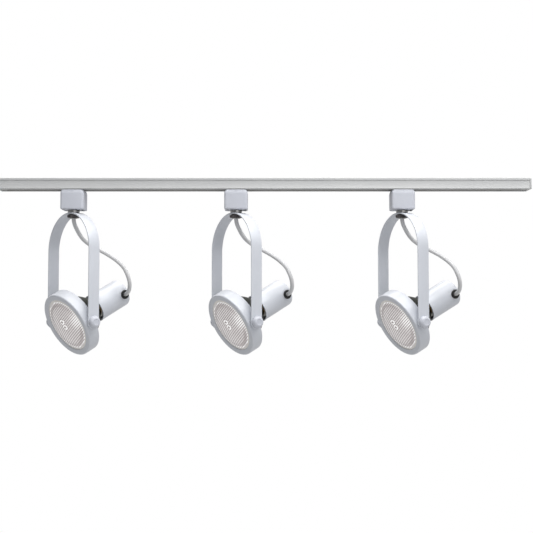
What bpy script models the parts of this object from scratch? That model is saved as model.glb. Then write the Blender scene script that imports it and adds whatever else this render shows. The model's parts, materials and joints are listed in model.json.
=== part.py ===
"""Ceiling track light: one H-type track with three swivelling gimbal heads for PAR30 lamps.

Frame: the origin is the centre of the track's top face, which lies against the ceiling.
+X runs along the track, +Z is up, and the heads hang below.

Each head hangs on three empties, one for each way that it moves:
head_N slides along the track, swivel_N turns about the stem, tilt_N nods about the knobs.
In a tilt frame +X is the knob axis, +Z is the lamp's axis, pointing out of its lens.
"""

import math

import bmesh
import bpy
from mathutils import Vector

MM = 0.001
GAP = 0.3 * MM  # between pieces that rest on or in each other

# Track
TRACK_LENGTH = 914.4 * MM
TRACK_WIDTH = 35.0 * MM
TRACK_HEIGHT = 19.0 * MM
TRACK_WALL = 1.5 * MM
TRACK_CORNER = 0.9 * MM
SLOT_WIDTH = 17.0 * MM
GROOVE_DROP = 4.3 * MM  # from the top face to the middle of the line along each side
GROOVE_WIDTH = 1.1 * MM
GROOVE_DEPTH = 0.6 * MM
CAP_THICKNESS = 3.0 * MM
CAP_PLUG_LENGTH = 8.0 * MM
SCREW_HOLE_RADIUS = 2.3 * MM
SCREW_HEAD_RADIUS = 4.6 * MM
SCREW_HOLE_FROM_MIDDLE = 304.8 * MM
INSULATOR_WEB = 1.6 * MM
INSULATOR_LEG = 2.4 * MM
CONDUCTOR_HEIGHT = 4.0 * MM
CONDUCTOR_THICKNESS = 1.0 * MM
CONDUCTOR_DROP = 10.0 * MM  # from the top face to the strip's middle

# Adapter
ADAPTER_LENGTH = 40.0 * MM  # along the track
ADAPTER_DEPTH = 37.0 * MM  # across the track
ADAPTER_HEIGHT = 34.2 * MM
ADAPTER_WALL = 2.4 * MM
ADAPTER_EDGE = 1.8 * MM
TONGUE_LENGTH = 34.0 * MM
TONGUE_SIDE_GAP = 0.5 * MM
TONGUE_TOP_GAP = 3.0 * MM
TONGUE_WALL = 2.4 * MM
EAR_LENGTH = 12.0 * MM
EAR_HEIGHT = 3.0 * MM
EAR_SIDE_GAP = 1.4 * MM
CONTACT_LENGTH = 9.0 * MM
CONTACT_THICKNESS = 1.0 * MM
CONTACT_TIP_GAP = 0.4 * MM
CONTACT_TIP_HEIGHT = 3.0 * MM
LEVER_POCKET_LENGTH = 6.6 * MM
LEVER_WIDTH = 13.0 * MM
LEVER_THICKNESS = 3.0 * MM
LEVER_LENGTH = 9.4 * MM
LEVER_PROUD = 1.2 * MM
LEVER_SIDE_GAP = 0.5 * MM

# Stem, collar and nut
STEM_RADIUS = 6.5 * MM
STEM_BORE_RADIUS = 4.2 * MM
STEM_RISE = 8.0 * MM  # above the adapter's floor
STEM_DROP = 1.2 * MM  # below the nut
RETAINER_FLANGE = 1.7 * MM
RETAINER_RADIUS = STEM_RADIUS + RETAINER_FLANGE
RETAINER_THICKNESS = 2.0 * MM
COLLAR_RADIUS = 10.2 * MM
COLLAR_HEIGHT = 4.0 * MM
NUT_ACROSS_FLATS = 19.0 * MM
NUT_HEIGHT = 5.2 * MM

# Yoke
YOKE_ARM = 123.2 * MM  # from the foot of the arch to the knob axis
RING_TO_ARM = 4.2 * MM
STRAP_WIDTH = 20.8 * MM
STRAP_THICKNESS = 2.2 * MM
ARM_BELOW_KNOB = 12.0 * MM
SHANK_HOLE_GAP = 0.4 * MM

# Knobs
KNOB_RADIUS = 10.0 * MM
KNOB_FACE_RADIUS = 5.5 * MM
KNOB_HEIGHT = 8.0 * MM
SHANK_RADIUS = 3.0 * MM

# Gimbal ring, measured along the lamp's axis from the knob axis
RING_ROOM = 7.2 * MM  # between the lamp's rim and the ring's wall
RING_WALL = 2.0 * MM
RING_FRONT = 13.6 * MM
RING_BACK = -8.2 * MM
RING_LIP = 1.8 * MM
RING_EDGE = 1.6 * MM
LIP_OVERLAP = 0.8 * MM  # of the ring's lip over the lamp's rim
BOSS_RADIUS = 8.0 * MM

# PAR30 lamp with a short neck
LAMP_RADIUS = 48.6 * MM
LENS_RIM = 4.6 * MM
LENS_DOME = 6.0 * MM
LENS_THICKNESS = 3.0 * MM
DOME_RADIUS = 44.5 * MM
BULB_WALL = 2.2 * MM
BULB_WAIST_RADIUS = 27.0 * MM
NECK_RADIUS = 17.5 * MM
NECK_BACK = -49.0 * MM
CAP_RADIUS = 13.2 * MM
LAMP_CAP_LENGTH = 25.0 * MM
LAMP_CAP_WALL = 0.8 * MM
LAMP_CAP_TIP_RADIUS = 5.0 * MM

# Socket housing, also measured along the lamp's axis
HOUSING_RADIUS = 24.4 * MM
HOUSING_WALL = 1.6 * MM
HOUSING_FRONT = -48.4 * MM
HOUSING_BACK = -114.3 * MM
HOUSING_EDGE = 6.0 * MM
HOLDER_TO_WALL = 4.2 * MM
HOLDER_FRONT = -53.5 * MM
HOLDER_BORE_DEPTH = 24.0 * MM
HOLDER_BODY_LENGTH = 32.0 * MM
HOLDER_FOOT_RADIUS = 11.5 * MM
GROMMET_FROM_BACK = 12.0 * MM
GROMMET_RADIUS = 8.0 * MM
GROMMET_NECK_RADIUS = 5.6 * MM
GROMMET_BORE_RADIUS = 4.3 * MM
GROMMET_PROUD = 2.8 * MM
GROMMET_INNER_FLANGE = 1.6 * MM

# Heads: where each one is on the track, and how it is aimed
HEAD_X = (-327.7 * MM, -47.9 * MM, 238.0 * MM)
HEAD_SWIVEL = (math.radians(-45.6), math.radians(-55.8), math.radians(-66.4))
LAMP_TILT = math.radians(27.9)  # below the horizontal

# Lead from the stem to the grommet: swivel frame, heights from the knob axis
CORD_RADIUS = 3.5 * MM
CORD_POINTS = 30
CORD_ROUTE_MM = (
    (0.0, 0.0, 196.0),
    (0.0, 0.0, 186.0),
    (0.0, 0.0, 175.5),
    (0.4, 1.9, 167.2),
    (1.3, 6.2, 158.2),
    (3.1, 10.9, 149.6),
    (5.7, 16.7, 141.7),
    (9.5, 24.7, 134.5),
    (15.0, 34.2, 128.2),
    (22.0, 44.0, 121.8),
    (30.5, 55.0, 113.8),
    (38.7, 65.5, 104.1),
    (46.3, 72.8, 93.4),
    (50.2, 76.9, 82.6),
    (50.9, 80.0, 74.4),
    (49.5, 82.7, 67.1),
    (46.2, 85.2, 60.7),
    (41.6, 87.3, 55.4),
    (36.1, 88.9, 51.5),
    (30.5, 89.9, 49.1),
    (25.0, 90.4, 47.9),
    (20.0, 90.4, 47.6),
    (15.5, 90.4, 47.4),
)

# Sizes that follow from the lamp
RING_RADIUS = LAMP_RADIUS + RING_ROOM + RING_WALL
APERTURE_RADIUS = LAMP_RADIUS - LIP_OVERLAP
YOKE_RADIUS = RING_RADIUS + RING_TO_ARM + STRAP_THICKNESS / 2  # middle of the strap
YOKE_DROP = YOKE_RADIUS + YOKE_ARM  # from the arch's top to the knob axis
HOLDER_RADIUS = HOUSING_RADIUS - HOUSING_WALL - HOLDER_TO_WALL

FINE_STEPS = 24  # facets round the ring, the lens and the housing
ROUND_STEPS = 16  # facets round the small turned pieces
ARCH_STEPS = 20

WHITE_PAINT = ((0.80, 0.80, 0.84), 0.42, 0.0)
TRACK_PAINT = ((0.74, 0.75, 0.75), 0.45, 0.0)
WHITE_PLASTIC = ((0.72, 0.73, 0.78), 0.5, 0.0)
PALE_PVC = ((0.55, 0.55, 0.52), 0.6, 0.0)
COPPER = ((0.72, 0.38, 0.22), 0.3, 1.0)
ZINC = ((0.55, 0.56, 0.58), 0.35, 1.0)
BRASS = ((0.75, 0.58, 0.28), 0.3, 1.0)
LENS_GLASS = ((0.72, 0.66, 0.64), 0.15, 0.0)
SILVERED_GLASS = ((0.22, 0.23, 0.25), 0.2, 0.8)
PORCELAIN = ((0.86, 0.84, 0.78), 0.3, 0.0)
BLACK_RUBBER = ((0.02, 0.02, 0.02), 0.7, 0.0)
CORD_PVC = ((0.78, 0.78, 0.78), 0.5, 0.0)


def clear_scene():
    for old in list(bpy.data.objects):
        bpy.data.objects.remove(old, do_unlink=True)


def material_for(name, look):
    colour, roughness, metallic = look
    material = bpy.data.materials.new(name)
    material.use_nodes = True
    shader = material.node_tree.nodes["Principled BSDF"]
    shader.inputs["Base Color"].default_value = (*colour, 1.0)
    shader.inputs["Roughness"].default_value = roughness
    shader.inputs["Metallic"].default_value = metallic
    return material


def place(obj, parent, location=(0, 0, 0), rotation=(0, 0, 0)):
    bpy.context.scene.collection.objects.link(obj)
    obj.parent = parent
    obj.location = location
    obj.rotation_euler = rotation
    return obj


def add_empty(name, parent, location=(0, 0, 0), rotation=(0, 0, 0)):
    return place(bpy.data.objects.new(name, None), parent, location, rotation)


def add_piece(name, bm, look, parent=None, location=(0, 0, 0), rotation=(0, 0, 0)):
    bmesh.ops.recalc_face_normals(bm, faces=bm.faces)
    mesh = bpy.data.meshes.new(name)
    bm.to_mesh(mesh)
    bm.free()
    mesh.shade_smooth()
    mesh.set_sharp_from_angle(angle=math.radians(35))
    mesh.materials.append(material_for(name, look))
    return place(bpy.data.objects.new(name, mesh), parent, location, rotation)


def combine(target, bm, operation, label, location=(0, 0, 0), rotation=(0, 0, 0)):
    """Cuts the shape from the target, or joins it on. The shape is placed in the target's own frame."""
    bmesh.ops.recalc_face_normals(bm, faces=bm.faces)
    mesh = bpy.data.meshes.new(f"{target.name}_{label}")
    bm.to_mesh(mesh)
    bm.free()
    tool = place(bpy.data.objects.new(mesh.name, mesh), target, location, rotation)
    tool.hide_render = True
    tool.display_type = "WIRE"
    modifier = target.modifiers.new(label, "BOOLEAN")
    modifier.operation = operation
    modifier.solver = "EXACT"
    modifier.object = tool


def box(low, high, edge=0.0, segments=2):
    """A box between two corners, its edges rounded where an edge radius is given."""
    low, high = Vector(low), Vector(high)
    bm = bmesh.new()
    bmesh.ops.create_cube(bm, size=1.0)
    bmesh.ops.scale(bm, vec=high - low, verts=bm.verts)
    bmesh.ops.translate(bm, vec=(low + high) / 2, verts=bm.verts)
    if edge:
        bmesh.ops.bevel(
            bm,
            geom=bm.edges[:],
            offset=edge,
            segments=segments,
            profile=0.5,
            affect="EDGES",
        )
    return bm


def extruded(outline, low_x, high_x):
    """A section given as (y, z) points, drawn out along X."""
    bm = bmesh.new()
    corners = [bm.verts.new((low_x, y, z)) for y, z in outline]
    section = bm.faces.new(corners)
    drawn = bmesh.ops.extrude_face_region(bm, geom=[section])["geom"]
    moved = [v for v in drawn if isinstance(v, bmesh.types.BMVert)]
    bmesh.ops.translate(bm, vec=(high_x - low_x, 0, 0), verts=moved)
    return bm


def turned(profile, steps=ROUND_STEPS):
    """A profile of (radius, height) points, turned about Z. A ring's profile is a closed loop."""
    bm = bmesh.new()
    points = [bm.verts.new((radius, 0, height)) for radius, height in profile]
    edges = [bm.edges.new(pair) for pair in zip(points, points[1:])]
    if profile[0][0] > 0:
        edges.append(bm.edges.new((points[-1], points[0])))
    bmesh.ops.spin(
        bm,
        geom=points + edges,
        cent=(0, 0, 0),
        axis=(0, 0, 1),
        angle=2 * math.pi,
        steps=steps,
        use_merge=True,
    )
    bmesh.ops.remove_doubles(bm, verts=bm.verts, dist=1e-6)
    return bm


def rod(radius, low, high, steps=ROUND_STEPS):
    return turned([(0, low), (radius, low), (radius, high), (0, high)], steps)


def both_sides(half):
    """Adds the mirror image of an outline's +Y half."""
    return half + [(-y, z) for y, z in reversed(half)]


def track_channel():
    half, wall, corner = TRACK_WIDTH / 2, TRACK_WALL, TRACK_CORNER
    floor = -TRACK_HEIGHT
    end = TRACK_LENGTH / 2 - CAP_THICKNESS - GAP
    outline = both_sides(
        [
            (half - corner, 0),
            (half, -corner),
            (half, -GROOVE_DROP + GROOVE_WIDTH / 2),
            (half - GROOVE_DEPTH, -GROOVE_DROP),
            (half, -GROOVE_DROP - GROOVE_WIDTH / 2),
            (half, floor + corner),
            (half - corner, floor),
            (SLOT_WIDTH / 2, floor),
            (SLOT_WIDTH / 2, floor + wall),
            (half - wall, floor + wall),
            (half - wall, -wall),
        ]
    )
    channel = add_piece("track_channel", extruded(outline, -end, end), TRACK_PAINT)
    for index, hole_x in enumerate(screw_hole_places()):
        hole = rod(SCREW_HOLE_RADIUS, -2 * wall, wall, 12)
        combine(channel, hole, "DIFFERENCE", f"screw_hole_{index}", (hole_x, 0, 0))


def screw_hole_places():
    return (-SCREW_HOLE_FROM_MIDDLE, SCREW_HOLE_FROM_MIDDLE)


def leg_face():
    """The inner face of the insulator's leg, from the middle of the track."""
    return TRACK_WIDTH / 2 - TRACK_WALL - GAP - INSULATOR_LEG


def wiring_end():
    return TRACK_LENGTH / 2 - CAP_THICKNESS - CAP_PLUG_LENGTH - 3 * GAP


def track_insulator():
    outer = TRACK_WIDTH / 2 - TRACK_WALL - GAP
    top = -TRACK_WALL - GAP
    foot = -TRACK_HEIGHT + TRACK_WALL + GAP
    inner = leg_face()
    groove = inner + CONDUCTOR_THICKNESS + GAP
    groove_top = -CONDUCTOR_DROP + CONDUCTOR_HEIGHT / 2 + GAP
    groove_foot = -CONDUCTOR_DROP - CONDUCTOR_HEIGHT / 2 - GAP
    outline = both_sides(
        [
            (outer, top),
            (outer, foot),
            (inner, foot),
            (inner, groove_foot),
            (groove, groove_foot),
            (groove, groove_top),
            (inner, groove_top),
            (inner, top - INSULATOR_WEB),
        ]
    )
    end = wiring_end()
    insulator = add_piece("track_insulator", extruded(outline, -end, end), PALE_PVC)
    for index, hole_x in enumerate(screw_hole_places()):
        hole = rod(SCREW_HEAD_RADIUS, top - 2 * INSULATOR_WEB, 0, 12)
        combine(insulator, hole, "DIFFERENCE", f"screw_head_{index}", (hole_x, 0, 0))


def track_conductor(name, side):
    face = leg_face()
    rows = sorted((side * face, side * (face + CONDUCTOR_THICKNESS)))
    end = wiring_end()
    low = (-end, rows[0], -CONDUCTOR_DROP - CONDUCTOR_HEIGHT / 2)
    high = (end, rows[1], -CONDUCTOR_DROP + CONDUCTOR_HEIGHT / 2)
    add_piece(name, box(low, high), COPPER)


def end_cap(name, side):
    half = TRACK_WIDTH / 2
    outer_end = TRACK_LENGTH / 2
    plug_start = outer_end - CAP_THICKNESS
    plug_half = half - TRACK_WALL - GAP
    plate = box((plug_start, -half, -TRACK_HEIGHT), (outer_end, half, 0), TRACK_CORNER, 1)
    cap = add_piece(name, plate, TRACK_PAINT, rotation=(0, 0, 0 if side > 0 else math.pi))
    plug = box(
        (plug_start - CAP_PLUG_LENGTH, -plug_half, -TRACK_HEIGHT + TRACK_WALL + GAP),
        (plug_start + CAP_THICKNESS / 2, plug_half, -TRACK_WALL - GAP),
    )
    combine(cap, plug, "UNION", "plug")


def adapter_top():
    return -TRACK_HEIGHT - GAP


def adapter_floor():
    """The underside of the adapter."""
    return adapter_top() - ADAPTER_HEIGHT


def tongue_half():
    return SLOT_WIDTH / 2 - TONGUE_SIDE_GAP


def lever_pocket():
    """The pocket's low and high X: it is just inside the adapter's right wall."""
    high = ADAPTER_LENGTH / 2 - ADAPTER_WALL
    return high - LEVER_POCKET_LENGTH, high


def adapter_body(number, head):
    length, depth = ADAPTER_LENGTH / 2, ADAPTER_DEPTH / 2
    wall, top, floor = ADAPTER_WALL, adapter_top(), adapter_floor()
    tongue_top = -TRACK_WALL - GAP - INSULATOR_WEB - TONGUE_TOP_GAP
    case = box((-length, -depth, floor), (length, depth, top), ADAPTER_EDGE)
    body = add_piece(f"adapter_body_{number}", case, WHITE_PLASTIC, head)

    tongue = box(
        (-TONGUE_LENGTH / 2, -tongue_half(), top - wall / 2),
        (TONGUE_LENGTH / 2, tongue_half(), tongue_top),
    )
    combine(body, tongue, "UNION", "tongue")
    ear_foot = -TRACK_HEIGHT + TRACK_WALL + GAP
    ear_half = leg_face() - EAR_SIDE_GAP
    ears = box(
        (-EAR_LENGTH / 2, -ear_half, ear_foot),
        (EAR_LENGTH / 2, ear_half, ear_foot + EAR_HEIGHT),
    )
    combine(body, ears, "UNION", "ears")

    pocket_low, pocket_high = lever_pocket()
    cavity_high = pocket_low - wall
    cavity = box(
        (-length + wall, -depth + wall, floor + wall),
        (cavity_high, depth - wall, top - wall),
    )
    combine(body, cavity, "DIFFERENCE", "cavity")
    retainer_room = rod(RETAINER_RADIUS + 2 * GAP, floor + wall, floor + wall + STEM_RISE)
    combine(body, retainer_room, "DIFFERENCE", "retainer_room")
    window = box(
        (-TONGUE_LENGTH / 2 + TONGUE_WALL, -tongue_half() + TONGUE_WALL, top - 2 * wall),
        (cavity_high - wall, tongue_half() - TONGUE_WALL, tongue_top + wall),
    )
    combine(body, window, "DIFFERENCE", "window")
    stem_hole = rod(STEM_RADIUS + GAP, floor - wall, floor + 2 * wall)
    combine(body, stem_hole, "DIFFERENCE", "stem_hole")
    pocket_half = LEVER_WIDTH / 2 + LEVER_SIDE_GAP
    pocket = box(
        (pocket_low, -pocket_half, floor - wall),
        (pocket_high, pocket_half, floor + LEVER_LENGTH - LEVER_PROUD + GAP),
    )
    combine(body, pocket, "DIFFERENCE", "lever_pocket")
    for side, name in ((-1, "line"), (1, "neutral")):
        slot = contact_box(side, GAP)
        combine(body, slot, "DIFFERENCE", f"{name}_contact_slot")


def contact_box(side, room):
    """The blade, which passes out through the tongue's side wall. Room widens it to a slot."""
    foot = -CONDUCTOR_DROP - CONTACT_THICKNESS / 2 - room
    inside = tongue_half() - TONGUE_WALL - 1.5 * TRACK_WALL
    outside = leg_face() - CONTACT_TIP_GAP
    rows = sorted((side * inside, side * outside))
    return box(
        (-CONTACT_LENGTH / 2 - room, rows[0], foot),
        (CONTACT_LENGTH / 2 + room, rows[1], foot + CONTACT_THICKNESS + 2 * room),
    )


def contact_blade(number, head, name, side):
    blade = add_piece(f"contact_{name}_{number}", contact_box(side, 0), COPPER, head)
    outside = leg_face() - CONTACT_TIP_GAP
    rows = sorted((side * (outside - CONTACT_THICKNESS), side * outside))
    tip = box(
        (-CONTACT_LENGTH / 2, rows[0], -CONDUCTOR_DROP - CONTACT_TIP_HEIGHT / 2),
        (CONTACT_LENGTH / 2, rows[1], -CONDUCTOR_DROP + CONTACT_TIP_HEIGHT / 2),
    )
    combine(blade, tip, "UNION", "tip")


def lever_hinge():
    """The lever's hinge line runs along Y, near the top of its pocket."""
    high = lever_pocket()[1]
    reach = LEVER_LENGTH - LEVER_PROUD
    return Vector((high - GAP - LEVER_THICKNESS / 2, 0, adapter_floor() + reach - LEVER_THICKNESS / 2))


def release_lever(number, head):
    half = LEVER_WIDTH / 2
    blade = box(
        (-LEVER_THICKNESS / 2, -half, -LEVER_LENGTH + LEVER_THICKNESS / 2),
        (LEVER_THICKNESS / 2, half, 0),
    )
    lever = add_piece(f"release_lever_{number}", blade, WHITE_PLASTIC, head, lever_hinge())
    knuckle = rod(LEVER_THICKNESS / 2, -half, half, 12)
    combine(lever, knuckle, "UNION", "knuckle", rotation=(math.pi / 2, 0, 0))


def collar_top():
    return adapter_floor() - GAP


def strap_top():
    """The upper face of the arch, at the stem."""
    return collar_top() - COLLAR_HEIGHT - GAP


def knob_height():
    return strap_top() - STRAP_THICKNESS / 2 - YOKE_DROP


def nut_corner():
    return NUT_ACROSS_FLATS / 2 / math.cos(math.pi / 6)


def nut_top():
    """The nut bears on the arch at its corners, where the arch has curved down a little."""
    inside = (YOKE_RADIUS - STRAP_THICKNESS / 2) * math.cos(math.pi / ARCH_STEPS / 2)
    curved_by = YOKE_RADIUS - STRAP_THICKNESS / 2 - math.sqrt(inside**2 - nut_corner() ** 2)
    return strap_top() - STRAP_THICKNESS - curved_by - GAP


def swivel_stem(number, swivel):
    tube_top = adapter_floor() + ADAPTER_WALL + STEM_RISE
    tube_foot = nut_top() - NUT_HEIGHT - STEM_DROP
    collar_foot = collar_top() - COLLAR_HEIGHT
    chamfer = COLLAR_HEIGHT / 8
    profile = [
        (STEM_BORE_RADIUS, tube_top),
        (STEM_RADIUS, tube_top),
        (STEM_RADIUS, collar_top()),
        (COLLAR_RADIUS, collar_top()),
        (COLLAR_RADIUS, collar_foot + chamfer),
        (COLLAR_RADIUS - chamfer, collar_foot),
        (STEM_RADIUS, collar_foot),
        (STEM_RADIUS, tube_foot),
        (STEM_BORE_RADIUS, tube_foot),
    ]
    add_piece(f"swivel_stem_{number}", turned(profile), ZINC, swivel)


def stem_retainer(number, swivel):
    """The ring on the stem's top end, which keeps it from dropping out of the adapter."""
    foot = adapter_floor() + ADAPTER_WALL + GAP
    top = foot + RETAINER_THICKNESS
    bore = STEM_RADIUS + GAP
    profile = [(bore, top), (RETAINER_RADIUS, top), (RETAINER_RADIUS, foot), (bore, foot)]
    add_piece(f"stem_retainer_{number}", turned(profile), ZINC, swivel)


def lock_nut(number, swivel):
    top, corner = nut_top(), nut_corner()
    foot = top - NUT_HEIGHT
    hexagon = turned([(0, top), (corner, top), (corner, foot), (0, foot)], 6)
    nut = add_piece(f"lock_nut_{number}", hexagon, ZINC, swivel)
    bore = rod(STEM_RADIUS + GAP, top - 2 * NUT_HEIGHT, top + NUT_HEIGHT)
    combine(nut, bore, "DIFFERENCE", "bore")


def yoke(number, swivel):
    """A flat strap bent over: up one arm, round the arch and down the other."""
    half, thick = STRAP_WIDTH / 2, STRAP_THICKNESS / 2
    foot = knob_height() - ARM_BELOW_KNOB
    spring_line = strap_top() - STRAP_THICKNESS / 2 - YOKE_RADIUS
    bm = bmesh.new()
    section = [
        bm.verts.new((-YOKE_RADIUS + across, along, foot))
        for across, along in ((-thick, -half), (thick, -half), (thick, half), (-thick, half))
    ]
    face = bm.faces.new(section)
    rise = Vector((0, 0, spring_line - foot))
    face = draw_face(bm, face, rise)
    swept = bmesh.ops.spin(
        bm,
        geom=[face],
        cent=(0, 0, spring_line),
        axis=(0, 1, 0),
        angle=math.pi,
        steps=ARCH_STEPS,
        use_merge=False,
    )["geom_last"]
    face = [part for part in swept if isinstance(part, bmesh.types.BMFace)][0]
    draw_face(bm, face, -rise)
    bmesh.ops.remove_doubles(bm, verts=bm.verts, dist=1e-6)
    joins = [part for part in bm.faces if all(len(edge.link_faces) > 2 for edge in part.edges)]
    bmesh.ops.delete(bm, geom=joins, context="FACES_ONLY")
    end_edges = [
        edge
        for edge in bm.edges
        if all(abs(v.co.z - foot) < 1e-6 for v in edge.verts)
        and abs(edge.verts[0].co.x - edge.verts[1].co.x) > thick
    ]
    bmesh.ops.bevel(
        bm,
        geom=end_edges,
        offset=half * 0.985,
        segments=7,
        profile=0.5,
        affect="EDGES",
    )
    strap = add_piece(f"yoke_{number}", bm, WHITE_PAINT, swivel)
    stem_hole = rod(STEM_RADIUS + GAP, strap_top() - 3 * STRAP_THICKNESS, strap_top() + STRAP_THICKNESS)
    combine(strap, stem_hole, "DIFFERENCE", "stem_hole")
    reach = YOKE_RADIUS + 2 * STRAP_THICKNESS
    for side, name in ((-1, "left"), (1, "right")):
        shank_hole = rod(SHANK_RADIUS + SHANK_HOLE_GAP, reach / 2, reach, 16)
        turn = (0, side * math.pi / 2, 0)
        combine(strap, shank_hole, "DIFFERENCE", f"{name}_shank_hole", (0, 0, knob_height()), turn)


def draw_face(bm, face, by):
    drawn = bmesh.ops.extrude_face_region(bm, geom=[face])["geom"]
    moved = [part for part in drawn if isinstance(part, bmesh.types.BMVert)]
    bmesh.ops.translate(bm, vec=by, verts=moved)
    return [part for part in drawn if isinstance(part, bmesh.types.BMFace)][0]


def arm_face(side):
    """Where the strap's inner (-1) or outer (1) face crosses the knob axis."""
    return YOKE_RADIUS + side * STRAP_THICKNESS / 2


def boss_end():
    return arm_face(-1) - GAP


def thumb_knob(number, tilt, name, side):
    """A domed screw: it passes through the arm and into the ring's boss."""
    seat = arm_face(1) + GAP
    tip = RING_RADIUS - RING_WALL - GAP
    shoulder = KNOB_HEIGHT * 0.18
    face = seat + KNOB_HEIGHT
    dome = [
        (
            KNOB_FACE_RADIUS + (KNOB_RADIUS - KNOB_FACE_RADIUS) * math.cos(angle),
            seat + shoulder + (KNOB_HEIGHT - shoulder) * math.sin(angle),
        )
        for angle in (math.radians(30), math.radians(60))
    ]
    profile = [
        (0, tip),
        (SHANK_RADIUS, tip),
        (SHANK_RADIUS, seat),
        (KNOB_RADIUS, seat),
        (KNOB_RADIUS, seat + shoulder),
        *dome,
        (KNOB_FACE_RADIUS, face),
        (0, face),
    ]
    turn = (0, side * math.pi / 2, 0)
    add_piece(f"thumb_knob_{name}_{number}", turned(profile), WHITE_PAINT, tilt, rotation=turn)


def gimbal_ring(number, tilt):
    inner = RING_RADIUS - RING_WALL
    edge = RING_EDGE
    profile = [
        (RING_RADIUS, RING_FRONT - edge),
        (RING_RADIUS - 0.3 * edge, RING_FRONT - 0.3 * edge),
        (RING_RADIUS - edge, RING_FRONT),
        (APERTURE_RADIUS, RING_FRONT),
        (APERTURE_RADIUS, RING_FRONT - RING_LIP),
        (inner, RING_FRONT - RING_LIP),
        (inner, RING_BACK),
        (RING_RADIUS, RING_BACK),
    ]
    ring = add_piece(f"gimbal_ring_{number}", turned(profile, FINE_STEPS), WHITE_PAINT, tilt)
    boss_root = RING_RADIUS - RING_WALL / 2
    for side, name in ((-1, "left"), (1, "right")):
        turn = (0, side * math.pi / 2, 0)
        combine(ring, rod(BOSS_RADIUS, boss_root, boss_end(), 16), "UNION", f"{name}_boss", rotation=turn)
        hole = rod(SHANK_RADIUS + GAP, boss_root - 2 * RING_WALL, boss_end() + RING_WALL, 16)
        combine(ring, hole, "DIFFERENCE", f"{name}_thread", rotation=turn)


def lens_front():
    """The lens rim's front face, just behind the ring's lip."""
    return RING_FRONT - RING_LIP - GAP


def dome_height(radius):
    return LENS_DOME * (1 - (radius / DOME_RADIUS) ** 2)


def lamp_lens(number, tilt):
    front = lens_front()
    radii = [DOME_RADIUS * share for share in (0, 0.4, 0.75, 1)]
    outside = [(radius, front + dome_height(radius)) for radius in radii]
    inside = [(radius, height - LENS_THICKNESS) for radius, height in outside]
    rim = [
        (LAMP_RADIUS, front),
        (LAMP_RADIUS, front - LENS_RIM),
        (LAMP_RADIUS - BULB_WALL, front - LENS_RIM),
    ]
    profile = outside + rim + inside[::-1]
    add_piece(f"lamp_lens_{number}", turned(profile, FINE_STEPS), LENS_GLASS, tilt)


def bulb_profile(inset):
    """The reflector's bowl, from its rim to its neck, as (radius, height) points."""
    rim = lens_front() - LENS_RIM - GAP
    bowl_back = NECK_BACK + 10 * MM
    bowl = []
    for share in (0, 0.35, 0.7, 1):
        height = rim + (bowl_back - rim) * share
        radius = BULB_WAIST_RADIUS + (LAMP_RADIUS - BULB_WAIST_RADIUS) * (1 - share**1.7)
        bowl.append((radius - inset, height))
    return bowl


def lamp_reflector(number, tilt):
    outside = bulb_profile(0)
    inside = bulb_profile(BULB_WALL)
    neck = [
        (NECK_RADIUS, NECK_BACK + 3 * MM),
        (NECK_RADIUS, NECK_BACK),
        (0, NECK_BACK),
    ]
    hollow_end = (NECK_RADIUS - BULB_WALL, NECK_BACK + 6 * MM)
    profile = [(0, hollow_end[1]), hollow_end, *inside[::-1], *outside, *neck]
    add_piece(f"lamp_reflector_{number}", turned(profile, FINE_STEPS), SILVERED_GLASS, tilt)


def lamp_cap(number, tilt):
    front = NECK_BACK - GAP
    back = front - LAMP_CAP_LENGTH
    shell_back = front - 0.8 * LAMP_CAP_LENGTH
    wall = LAMP_CAP_WALL
    profile = [
        (0, back + 2 * wall),
        (LAMP_CAP_TIP_RADIUS, back + 2 * wall),
        (CAP_RADIUS - wall, shell_back),
        (CAP_RADIUS - wall, front),
        (CAP_RADIUS, front),
        (CAP_RADIUS, shell_back),
        (LAMP_CAP_TIP_RADIUS, back),
        (0, back),
    ]
    add_piece(f"lamp_cap_{number}", turned(profile), BRASS, tilt)


def socket_housing(number, tilt):
    outer, wall, edge = HOUSING_RADIUS, HOUSING_WALL, HOUSING_EDGE
    inner_edge = edge - wall
    bends = [math.radians(angle) for angle in (0, 45, 90)]
    outside = [
        (outer - edge + edge * math.cos(bend), HOUSING_BACK + edge - edge * math.sin(bend))
        for bend in bends
    ]
    inside = [
        (outer - edge + inner_edge * math.cos(bend), HOUSING_BACK + edge - inner_edge * math.sin(bend))
        for bend in bends
    ]
    profile = [
        (0, HOUSING_BACK + wall),
        *inside[::-1],
        (outer - wall, HOUSING_FRONT),
        (outer, HOUSING_FRONT),
        *outside,
        (0, HOUSING_BACK),
    ]
    housing = add_piece(f"socket_housing_{number}", turned(profile, FINE_STEPS), WHITE_PAINT, tilt)
    hole = rod(GROMMET_NECK_RADIUS + GAP, HOUSING_RADIUS / 2, HOUSING_RADIUS * 1.5, 16)
    combine(housing, hole, "DIFFERENCE", "cord_hole", (0, 0, grommet_height()), (0, math.pi / 2, 0))


def grommet_height():
    return HOUSING_BACK + GROMMET_FROM_BACK


def lampholder(number, tilt):
    foot_end = HOUSING_BACK + HOUSING_WALL + GAP
    body_back = HOLDER_FRONT - HOLDER_BODY_LENGTH
    bore_back = HOLDER_FRONT - HOLDER_BORE_DEPTH
    bore_radius = CAP_RADIUS + GAP
    profile = [
        (0, bore_back),
        (bore_radius, bore_back),
        (bore_radius, HOLDER_FRONT),
        (HOLDER_RADIUS, HOLDER_FRONT),
        (HOLDER_RADIUS, body_back),
        (HOLDER_FOOT_RADIUS, body_back),
        (HOLDER_FOOT_RADIUS, foot_end),
        (0, foot_end),
    ]
    add_piece(f"lampholder_{number}", turned(profile), PORCELAIN, tilt)


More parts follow.
